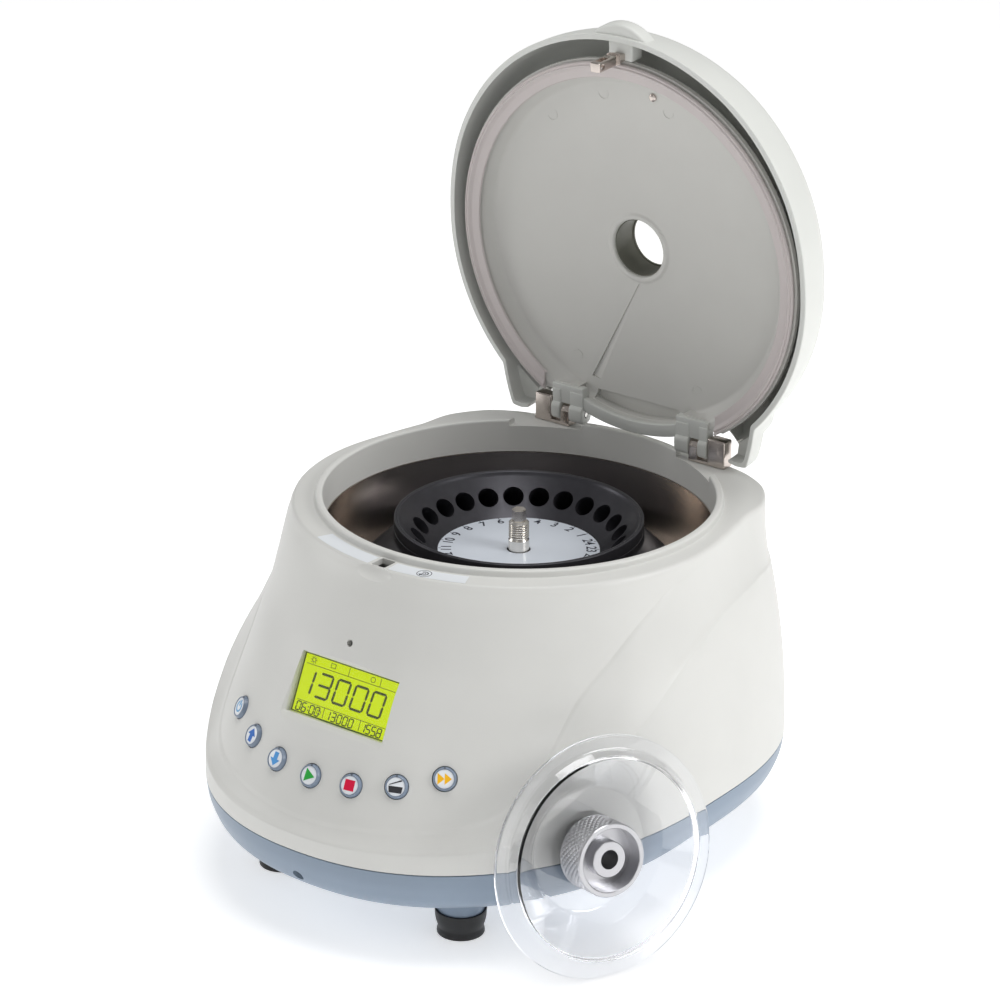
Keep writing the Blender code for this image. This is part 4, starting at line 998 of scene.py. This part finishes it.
def make_deck_film():
    """Film on the deck either side of the latch slot, with a turning-arrow mark on its right half."""
    films = [prism(arc_outline(116.2, 107.6, start - 90, 20.8, 24), FILM_LOW, FILM_TOP)
             for start in (3.2, -24)]
    film = piece("deck_film", merged(films), FILM, "base")
    reshape(film, latch_scoop(0.4))
    centre = polar(math.radians(12.5), 111.9, 0)
    marks = [flat_ring(centre.x, centre.y, radius, 0.35, FILM_TOP, PRINT_TOP) for radius in (3.9, 1.0)]
    marks.append(prism(arc_outline(2.3, 1.7, 150, -260, 20, centre), FILM_TOP, PRINT_TOP))
    x, y = arc_points(2.0, 150, -260, 1, centre)[-1]
    marks.append(prism([(x + 0.2, y + 1.2), (x + 0.2, y - 1.2), (x - 1.6, y)], FILM_TOP, PRINT_TOP))
    piece("deck_film_print", merged(marks), INK, "base")


# ---- Lid ---------------------------------------------------------------------------------
LID_EDGE = ((0, 121.3), (30, 120.4), (60, 117.6), (90, 114.7))
LID_RIM_Z = 184.1
LID_CROWN_Z = 220.1
LID_PORT_R = 17.5
LID_REAR_Y = 91.4
LID_WALL = 2.5
LID_RIM_HEIGHT = 12
TAIL_START = 134
TAIL_TIPS = ((77, 103), (66.5, 103.6))
TAIL_END = 147.7
LINER_R = 107.0
LINER_REAR_Y = 88.4
CONE_EDGE_R = 92.5
CONE_EDGE_Z = 195.5
CONE_TOP_R = 26
CONE_TOP_Z = 199.2
STRAP_R = 102
STRAP_INNER_R = 94.8
STRAP_START = math.radians(158)
HOOK_Y = -110.1


def tail_corners():
    """Angle from the front in degrees, and radius, of each corner of a tail."""
    corners = [(TAIL_START, LID_EDGE[-1][1])]
    corners += [(180 - math.degrees(math.atan2(x, y)), math.hypot(x, y)) for x, y in TAIL_TIPS]
    corners.append((TAIL_END, LID_REAR_Y / -math.cos(math.radians(TAIL_END))))
    return corners


def lid_outline(angle):
    """Radius by angle from the front: rounded, with a square tail each side and a flat back."""
    degrees = fold_degrees(angle)
    if degrees <= TAIL_START:
        return curve_value(LID_EDGE, degrees)
    corners = tail_corners()
    for (start, near), (end, far) in zip(corners, corners[1:]):
        if degrees <= end:
            return near + (far - near) * (degrees - start) / (end - start)
    return LID_REAR_Y / -math.cos(math.radians(degrees))


def liner_outline(angle):
    """Liner edge: round, flat behind the hinges, and round again as the strap between them."""
    bend = math.radians(fold_degrees(angle))
    if bend >= STRAP_START:
        return STRAP_R
    if bend <= math.pi / 2:
        return LINER_R
    return min(LINER_R, LINER_REAR_Y / -math.cos(bend))


def spread_angles(corners, count):
    """Even angles all round, with the corners of an outline added on both sides."""
    half = sorted({math.pi * i / count for i in range(count + 1)} | set(corners))
    return half + [-angle for angle in reversed(half[1:-1])]


def soft_outline(outline, angles, blur):
    """Outline radii with each corner rounded over the blur angle."""
    shifts = [math.radians(blur) * (i - 3) / 3 for i in range(7)]
    return [sum(outline(a + s) for s in shifts) / len(shifts) for a in angles]


def arch(radius, reach, steps=32):
    """Points along the arc round the spindle at the back, from a reach on the right to one on the left."""
    across = [reach - 2 * reach * step / steps for step in range(steps + 1)]
    return [(x, math.sqrt(radius ** 2 - x ** 2)) for x in across]


def arch_band(inner, outer, reach):
    """Outline of a band at the back, as wide as the reach on each side."""
    return arch(outer, reach) + arch(inner, reach)[::-1]


def lid_piece(name, bm, material, replaced=()):
    """Piece of the lid, modelled closed and put in its open place."""
    return piece(name, bm, material, "lid", replaced, LID_PLACE)


def lid_reshape(obj, bm, operation="DIFFERENCE"):
    reshape(obj, bm, operation, LID_PLACE)


def shell_radius(angle, edge, inset, height):
    """Shell radius at one inset: upright rim, then a round dome, cut off by the flat back and
    drawn out into the tails."""
    if height <= LID_RIM_HEIGHT:
        return edge - inset
    crown = curve_value(LID_EDGE, fold_degrees(angle))
    return max(min(edge - min(inset, 3 + 0.1 * inset), max(edge, crown) - inset, crown - inset + 4), 22)


def make_lid_shell():
    """Domed shell with its port, and the lip, hook block and slot wall that are moulded onto it."""
    angles = spread_angles([math.radians(degrees) for degrees, _ in tail_corners()], 120)
    outline = soft_outline(lid_outline, angles, 0.5)
    section = rounded_path([(2.0, 0), (0, 0, 0.9), (0.4, 10, 4), (2.4, 21, 4), (6.4, 28, 4), (17, 32.5, 5),
                            (38, 35, 8), (64, 36, 8), (84, 36)], 6)
    rings = []
    for inset, height in section:
        rings.append([polar(a, shell_radius(a, r, inset, height), LID_RIM_Z + height)
                      for a, r in zip(angles, outline)])
    port = rounded_path([(19.4, LID_CROWN_Z), (LID_PORT_R, LID_CROWN_Z, 1.4),
                         (LID_PORT_R, LID_CROWN_Z - LID_WALL)], 5)
    rings += [[polar(a, r, z) for a in angles] for r, z in port]
    for inset, height in reversed(section[2:]):
        under = LID_RIM_Z + height - min(LID_WALL, height / 4)
        rings.append([polar(a, shell_radius(a, r, inset, height) - LID_WALL, under)
                      for a, r in zip(angles, outline)])
    shell = lid_piece("lid_shell_body", loft(rings), LID_SHELL, ("lid_shell",))
    lid_reshape(shell, block((132, 40, 25), (0, 105, 186.4)))
    lip = rod(23.2, 9, (0, -104, LID_RIM_Z + 6), bevel=1.8, segments=128)
    lip_piece = lid_piece("lid_lip", lip, LID_SHELL)
    lid_reshape(lip_piece, rod(119.8, 60, (0, 0, LID_RIM_Z), segments=192))
    lid_piece("lid_hook_block", block((15, 11.5, 9), (0, -113.2, 191.5), 1.0), LID_SHELL)
    slot_wall = prism(arch_band(95.0, 96.4, 30), 190.5, 200.2, 0.3)
    slot_back = lid_piece("lid_slot_back", slot_wall, LINER)
    lid_reshape(slot_back, block((57, 10, 1.6), (0, 90, 199.2)), "UNION")


def liner_height(radius):
    """Height of the inner face of the liner on its shallow cone."""
    return CONE_EDGE_Z + (CONE_EDGE_R - radius) * (CONE_TOP_Z - CONE_EDGE_Z) / (CONE_EDGE_R - CONE_TOP_R)


def liner_margin(radius):
    """How far a ring of the liner stays inside its outline where the outline is the tighter one."""
    if 60 < radius <= 100:
        return 5
    return 1.5 if 100 < radius <= 105 else 0


def make_lid_liner():
    """Shallow cone with a port tube in the middle and a seat for the seal round its edge."""
    rear_corner = math.pi - math.acos(LINER_REAR_Y / LINER_R)
    angles = spread_angles((rear_corner, STRAP_START - 0.003, STRAP_START), 120)
    outline = [liner_outline(a) for a in angles]
    section = rounded_path([(112, 190.6), (112, 188, 0.5), (101.4, 188, 0.4), (98.0, 189.6, 1.2),
                            (CONE_EDGE_R, CONE_EDGE_Z, 1.6), (CONE_TOP_R, CONE_TOP_Z, 4),
                            (19.5, CONE_TOP_Z, 0.8), (18.4, 198.4, 0.5),
                            (16.4, 198.4, 0.5), (15.8, 199.2, 0.4), (15.8, 216.1), (18.2, 216.1),
                            (18.2, 202.3), (22, 202.3), (92.5, 198.2), (101, 190.6)], 4)
    rings = []
    for radius, height in section:
        rings.append([polar(a, min(radius, r - liner_margin(radius)), height)
                      for a, r in zip(angles, outline)])
    liner = lid_piece("lid_liner_body", loft(rings), LINER, ("lid_liner",))
    lid_reshape(liner, prism([(-26.5, 85.8), (26.5, 85.8)] + arch(STRAP_INNER_R, 27.5, 20), 180, 215))
    lid_reshape(liner, liner_groove())


def liner_groove():
    """Cutter for the fold line that runs from the port towards the left hinge, deepest at its side."""
    edge = [(-0.5, 20.5), (0.5, 20.5), (-25, 80), (-30.5, 79)]
    floor_line = [Vector((x, y, liner_height(math.hypot(x, y)))) for x, y in edge]
    roof = [point + Vector((0, 0, depth)) for point, depth in zip(floor_line, (0.3, 0.2, 0.3, 1.4))]
    return loft([[point - Vector((0, 0, 4)) for point in floor_line], roof], capped=True)


def make_knuckles():
    """Two eyes on each side round the hinge pin, on arms from the liner, and the strap between them."""
    eyes, arms, bores = [], [], []
    for side in (-1, 1):
        for low, high in ((30.5, 39.2), (45.4, 51.0)):
            width = high - low
            middle = side * (low + high) / 2
            eye = prism(rounded_outline(9, 10.6, 3.2), -width / 2, width / 2, 0.6)
            eyes.append(moved(eye, (middle, HINGE.y, HINGE.z), quarter_turn("Y")))
            arms.append(block((width, 12, 6.4), (middle, 93.4, 189.7), 0.7))
        arms.append(block((20.5, 11, 4.6), (side * 40.75, 89.9, HINGE.z), 0.6))
        bores.append(rod(HINGE_BORE_R, 26, (side * 41.8, HINGE.y, HINGE.z), (1, 0, 0)))
    hinge = lid_piece("lid_liner_knuckles", merged(eyes), KNUCKLE)
    for arm in arms:
        lid_reshape(hinge, arm, "UNION")
    lid_reshape(hinge, merged(bores))
    strap = prism(arch_band(STRAP_INNER_R, STRAP_R, 31), 187.2, 190.8, 0.7)
    lid_piece("lid_strap", strap, KNUCKLE)


def make_liner_details():
    """Ejector rings left by the mould, and one screw near the front."""
    rings = []
    for angle, radius in ((-12, 86), (16, 84), (-38, 84), (152, 82), (-150, 80)):
        ejector = lathe([(3.2, 0.06), (3.2, -0.12), (3.05, -0.12), (3.05, 0.06)], 48)
        rings.append(moved(ejector, polar(math.radians(angle), radius, liner_height(radius))))
    lid_piece("lid_liner_details", merged(rings), LINER)
    screw = lathe(rounded_path([(0, -1.3), (1.1, -1.3), (2.2, -0.7, 0.4), (2.2, 0.6), (0, 0.6)]), 40)
    screw = moved(screw, polar(math.radians(9), 88.5, 195.6))
    lid_piece("lid_liner_screw", screw, NICKEL)


def make_seal():
    """Ribbed seal round the liner, cut off behind where the hinges are."""
    section = rounded_path([(105.6, 187.6), (106, 186.2, 0.5), (105.0, 185.2, 0.4), (104.2, 185.9, 0.3),
                            (103.4, 184.9, 0.5), (101.6, 186.4, 0.6), (97.2, 187.0, 0.4), (96.8, 187.9)], 4)
    gasket = lid_piece("lid_gasket_body", lathe(section, 192), GASKET, ("lid_gasket",))
    lid_reshape(gasket, block((112, 40, 20), (0, 100, 186)))


def make_port():
    """Clear lens in the crown, and below it a dark sleeve lining the port, whose colour is painted shade for
    the tube's shaded inside wall.
    """
    lens = lathe(rounded_path([(0, 219.3), (17.1, 219.3, 0.3), (17.1, 216.5, 0.3), (0, 216.5)]), 96)
    lid_piece("port_lens", lens, CLEAR_PANE, ("port_window",))
    # Dark sleeve inside the port tube: painted shade where the tube's inside wall lies in shade.
    shaded_lining = lathe(rounded_path([(15.75, 216.2), (15.75, 200.2), (15.3, 200.2, 0.2), (15.3, 215.2, 0.3),
                                 (14.6, 215.2, 0.2), (14.6, 216.2)]), 96)
    lid_piece("port_painted_shade_sleeve", shaded_lining, PORT_PAINTED_SHADE)


def make_latch_hook():
    """Flat hook with a window and a cross bore for the lock bolt, and ribs on its neck."""
    plate = prism(rounded_outline(6, 19.3, 1.0), -2.5, 2.5, 0.35)
    plate = moved(plate, (0, HOOK_Y, 174.15), quarter_turn("X"))
    hook = lid_piece("latch_hook_body", plate, NICKEL, ("latch_hook",))
    lid_reshape(hook, block((6, 4, 8.5), (0, HOOK_Y + 0.4, 183.4), 0.3), "UNION")
    lid_reshape(hook, block((3.4, 20, 7.0), (0, HOOK_Y, 171.0), 0.6))
    lid_reshape(hook, rod(1.7, 20, (0, HOOK_Y, 167.6), (1, 0, 0)))
    ribs = [block((6.6, 5.6, 0.5), (0, HOOK_Y, 180.0 + 1.1 * i), 0.12) for i in range(3)]
    lid_piece("latch_hook_ribs", merged(ribs), NICKEL)


# ---- Hinges ------------------------------------------------------------------------------
UPRIGHT = Matrix(((0, 0, 1), (1, 0, 0), (0, 1, 0))).to_4x4()


def make_hinges():
    """A plate, a post and a rounded arm on each side, with a pin through the arm and the lid's knuckles."""
    deck = DECK_Z + 0.3
    height = HINGE_TOP - deck
    for side, name in ((-1, "left"), (1, "right")):
        plate = block((22.9, 2 * HINGE_ARM_R, 1.8), (side * 50.95, HINGE.y, deck + 0.9), 0.3)
        bracket = piece(f"hinge_bracket_{name}_body", plate, NICKEL, "base",
                        (f"hinge_bracket_{name}",))
        post = block((11, 2 * HINGE_ARM_R, height), (side * HINGE_STUD.x, HINGE.y, deck + height / 2), 0.9)
        foot = [(-HINGE_ARM_R, deck - HINGE.z), (HINGE_ARM_R, deck - HINGE.z)]
        arm_outline = foot + arc_points(HINGE_ARM_R, 0, 180, 24)
        arm = moved(prism(arm_outline, -2.8, 2.8, 0.35), (side * 42.3, HINGE.y, HINGE.z), UPRIGHT)
        stud = rod(2.5, 10, (side * HINGE_STUD.x, HINGE_STUD.y, DECK_Z - 2), bevel=0.3)
        reshape(bracket, merged([post, arm]), "UNION")
        reshape(bracket, stud, "UNION")
        middle = (side * 43, HINGE.y, HINGE.z)
        reshape(bracket, rod(HINGE_BORE_R, 25.8, middle, (1, 0, 0)))
        pin = rod(HINGE_PIN_R, 25.2, middle, (1, 0, 0), bevel=0.3)
        piece(f"hinge_pin_{name}_body", pin, STEEL, "base", (f"hinge_pin_{name}",))


# ---- Rear panel --------------------------------------------------------------------------
def make_rear():
    """Mains inlet with its three blades, and the power switch in its bezel."""
    seat = shell_frame(INLET_ANGLE, REAR_Z)
    flange = prism(rounded_outline(40, 26, 2.4), 0.9, 2.9, 0.5)
    inlet = piece("power_inlet_body", flange, BLACK, "base", ("power_inlet",), seat)
    reshape(inlet, block((27.4, 19.9, 22), (0, 0, -9.5), 0.5), "UNION", seat)
    reshape(inlet, prism(rounded_outline(24, 16.5, 2.2), -14, 6), place=seat)
    blades = [block((2, 4, 9), (x, y, -10.5), 0.3) for x, y in ((-7, -2), (0, 3), (7, -2))]
    piece("power_inlet_blades", merged(blades), NICKEL, "base", (), seat)
    seat = shell_frame(SWITCH_ANGLE, REAR_Z)
    rim = prism(rounded_outline(16, 22.4, 1.2), 0.6, 2.2, 0.3)
    bezel = piece("switch_bezel_body", rim, BLACK, "base", ("switch_bezel",), seat)
    reshape(bezel, block((13, 19, 16), (0, 0, -6.5), 0.3), "UNION", seat)
    reshape(bezel, block((10.4, 16, 14), (0, 0, -2), 0.2), place=seat)
    tilt = seat @ Matrix.Translation((0, 0, -1)) @ Matrix.Rotation(math.radians(8), 4, "X")
    profile = [(-6.7, -2.5), (6.7, -2.5), (6.7, 2.5), (4.5, 2.1), (0, 1.5), (-4.5, 2.1), (-6.7, 2.5)]
    rocker = moved(prism(profile, -4.8, 4.8, 0.35), turn=UPRIGHT)
    piece("power_switch_body", rocker, BLACK, "switch_rocker", ("power_switch",), tilt)
    marks = merged([block((3.4, 0.6, 0.12), (0, 4.2, 2.25)), flat_ring(0, -4.2, 1.5, 0.4, 2.15, 2.32)])
    piece("power_switch_marks", marks, KEY_FACE, "switch_rocker", (), tilt)


# ---- Rotor cover -------------------------------------------------------------------------
COVER_CENTRE = Vector((136.1, -109.2, 60.6))
COVER_FACING = math.radians(-22.3)
COVER_LEAN = math.radians(9.8)
KNOB_R = 18.7
KNURL_COUNT = 72
KNURL_DEPTH = 0.42
KNURL_PITCH = 3.2


def knurl(angle, radius, z):
    """Diamond ridges on the knob's side wall."""
    if radius < 18.2 or not -9.9 < z < 6.2:
        return radius
    phase = KNURL_COUNT / 2 * angle / (2 * math.pi)
    rise = z / KNURL_PITCH
    first = abs((phase + rise) % 1 - 0.5) * 2
    second = abs((phase - rise) % 1 - 0.5) * 2
    return radius - KNURL_DEPTH * max(first, second) ** 3


def make_cover():
    """Clear dish that leans on its rim against the housing, with its knurled knob in the middle."""
    facing = Vector((math.cos(COVER_LEAN) * math.cos(COVER_FACING),
                     math.cos(COVER_LEAN) * math.sin(COVER_FACING), math.sin(COVER_LEAN)))
    seat = facing.to_track_quat("Z", "Y").to_matrix().to_4x4()
    seat.translation = COVER_CENTRE
    cover = rounded_path([(50.6, 6), (51.6, 5.6, 0.3), (54.5, 1.2, 0.9), (60.9, 0.9, 0.3), (61.3, 0, 0.3),
                          (61.3, -1, 0.3), (53.8, -1, 0.8), (50.5, 3.4, 0.8), (33.4, -14.2, 1.2),
                          (31.5, -15.6, 0.8), (6, -15.6), (6, -14.4), (31, -14.4, 0.8), (32.6, -13, 0.8)], 4)
    piece("rotor_cover_body", lathe(cover, 192), CLEAR, "leaning_cover",
          ("rotor_cover",), seat)
    side = [(KNOB_R, 6.4 - 0.34 * i) for i in range(49)]
    profile = [(18.2, 7.4), (18.55, 7.0), *side, (KNOB_R, -10.3), (18.3, -10.9), (15, -10.9), (15, -14.1),
               (5.5, -14.1), (5.5, -16.6), (4.9, -16.6), (4.9, 5.4), (8.8, 5.4), (9.2, 5.0), (9.2, -2),
               (16, -2), (16, 7.1), (16.3, 7.4)]
    knob = lathe(profile, 432, knurl)
    piece("cover_knob_body", knob, ALUMINIUM, "cover_nut", ("cover_knob",), seat, 40)


# ---- Stage -------------------------------------------------------------------------------
CAMERA_POINT = Vector((1057.9, -1404.1, 897.9))
CAMERA_AZIMUTH = math.radians(37.32)
CAMERA_ELEVATION = math.radians(22.24)
CAMERA_ROLL = math.radians(0.44)
CAMERA_LENS = 131.9


def make_camera():
    """Camera by its place, azimuth, elevation and roll."""
    camera = bpy.data.objects.new("camera", bpy.data.cameras.new("camera"))
    camera.matrix_world = (Matrix.Rotation(CAMERA_AZIMUTH, 4, "Z")
                           @ Matrix.Rotation(math.pi / 2 - CAMERA_ELEVATION, 4, "X")
                           @ Matrix.Rotation(CAMERA_ROLL, 4, "Z"))
    camera.location = TO_WORLD @ CAMERA_POINT
    camera.data.lens = CAMERA_LENS
    camera.data.sensor_width = 36
    camera.data.clip_end = 20
    bpy.context.scene.collection.objects.link(camera)
    bpy.context.scene.camera = camera


def add_light(name, place, aim_height, size, power):
    """Round lamp in metres from the world's origin, aimed at a height over it."""
    lamp = bpy.data.lights.new(name, "AREA")
    lamp.shape = "DISK"
    lamp.size = size
    lamp.energy = power
    obj = bpy.data.objects.new(name, lamp)
    obj.location = place
    obj.rotation_euler = (Vector((0, 0, aim_height)) - Vector(place)).to_track_quat("-Z", "Y").to_euler()
    bpy.context.scene.collection.objects.link(obj)


def make_stage():
    """White paper floor, pale world and four round lamps."""
    floor_mesh = bpy.data.meshes.new("floor")
    bm = bmesh.new()
    bmesh.ops.create_grid(bm, x_segments=1, y_segments=1, size=30)
    bm.to_mesh(floor_mesh)
    bm.free()
    floor = bpy.data.objects.new("floor", floor_mesh)
    paper = new_material("studio_floor", (0.93, 0.93, 0.93), 0.6, Emission_Color=(1, 1, 1, 1),
                         Emission_Strength=0.5)
    floor_mesh.materials.append(paper)
    bpy.context.scene.collection.objects.link(floor)
    bpy.context.scene.view_settings.view_transform = "Standard"
    world = bpy.data.worlds.new("studio")
    world.use_nodes = True
    world.node_tree.nodes["Background"].inputs["Color"].default_value = (1, 1, 1, 1)
    world.node_tree.nodes["Background"].inputs["Strength"].default_value = 0.25
    bpy.context.scene.world = world
    add_light("right_box", (2.1, 0.55, 1.25), 0.15, 1.1, 25)
    add_light("left_box", (-2.1, -0.9, 1.0), 0.12, 1.0, 9)
    add_light("top_box", (0.1, 0.2, 2.6), 0.2, 1.6, 30)
    add_light("front_box", (0.5, -2.4, 1.5), 0.25, 1.8, 6)


dress_cad_nodes()
make_housing()
make_pan()
make_pan_screws()
make_feet()
make_chamber()
make_rotor()
make_rotor_label()
make_spindle()
make_display()
make_keys()
make_deck_film()
make_lid_shell()
make_lid_liner()
make_knuckles()
make_liner_details()
make_seal()
make_port()
make_latch_hook()
make_hinges()
make_rear()
make_cover()
make_camera()
make_stage()
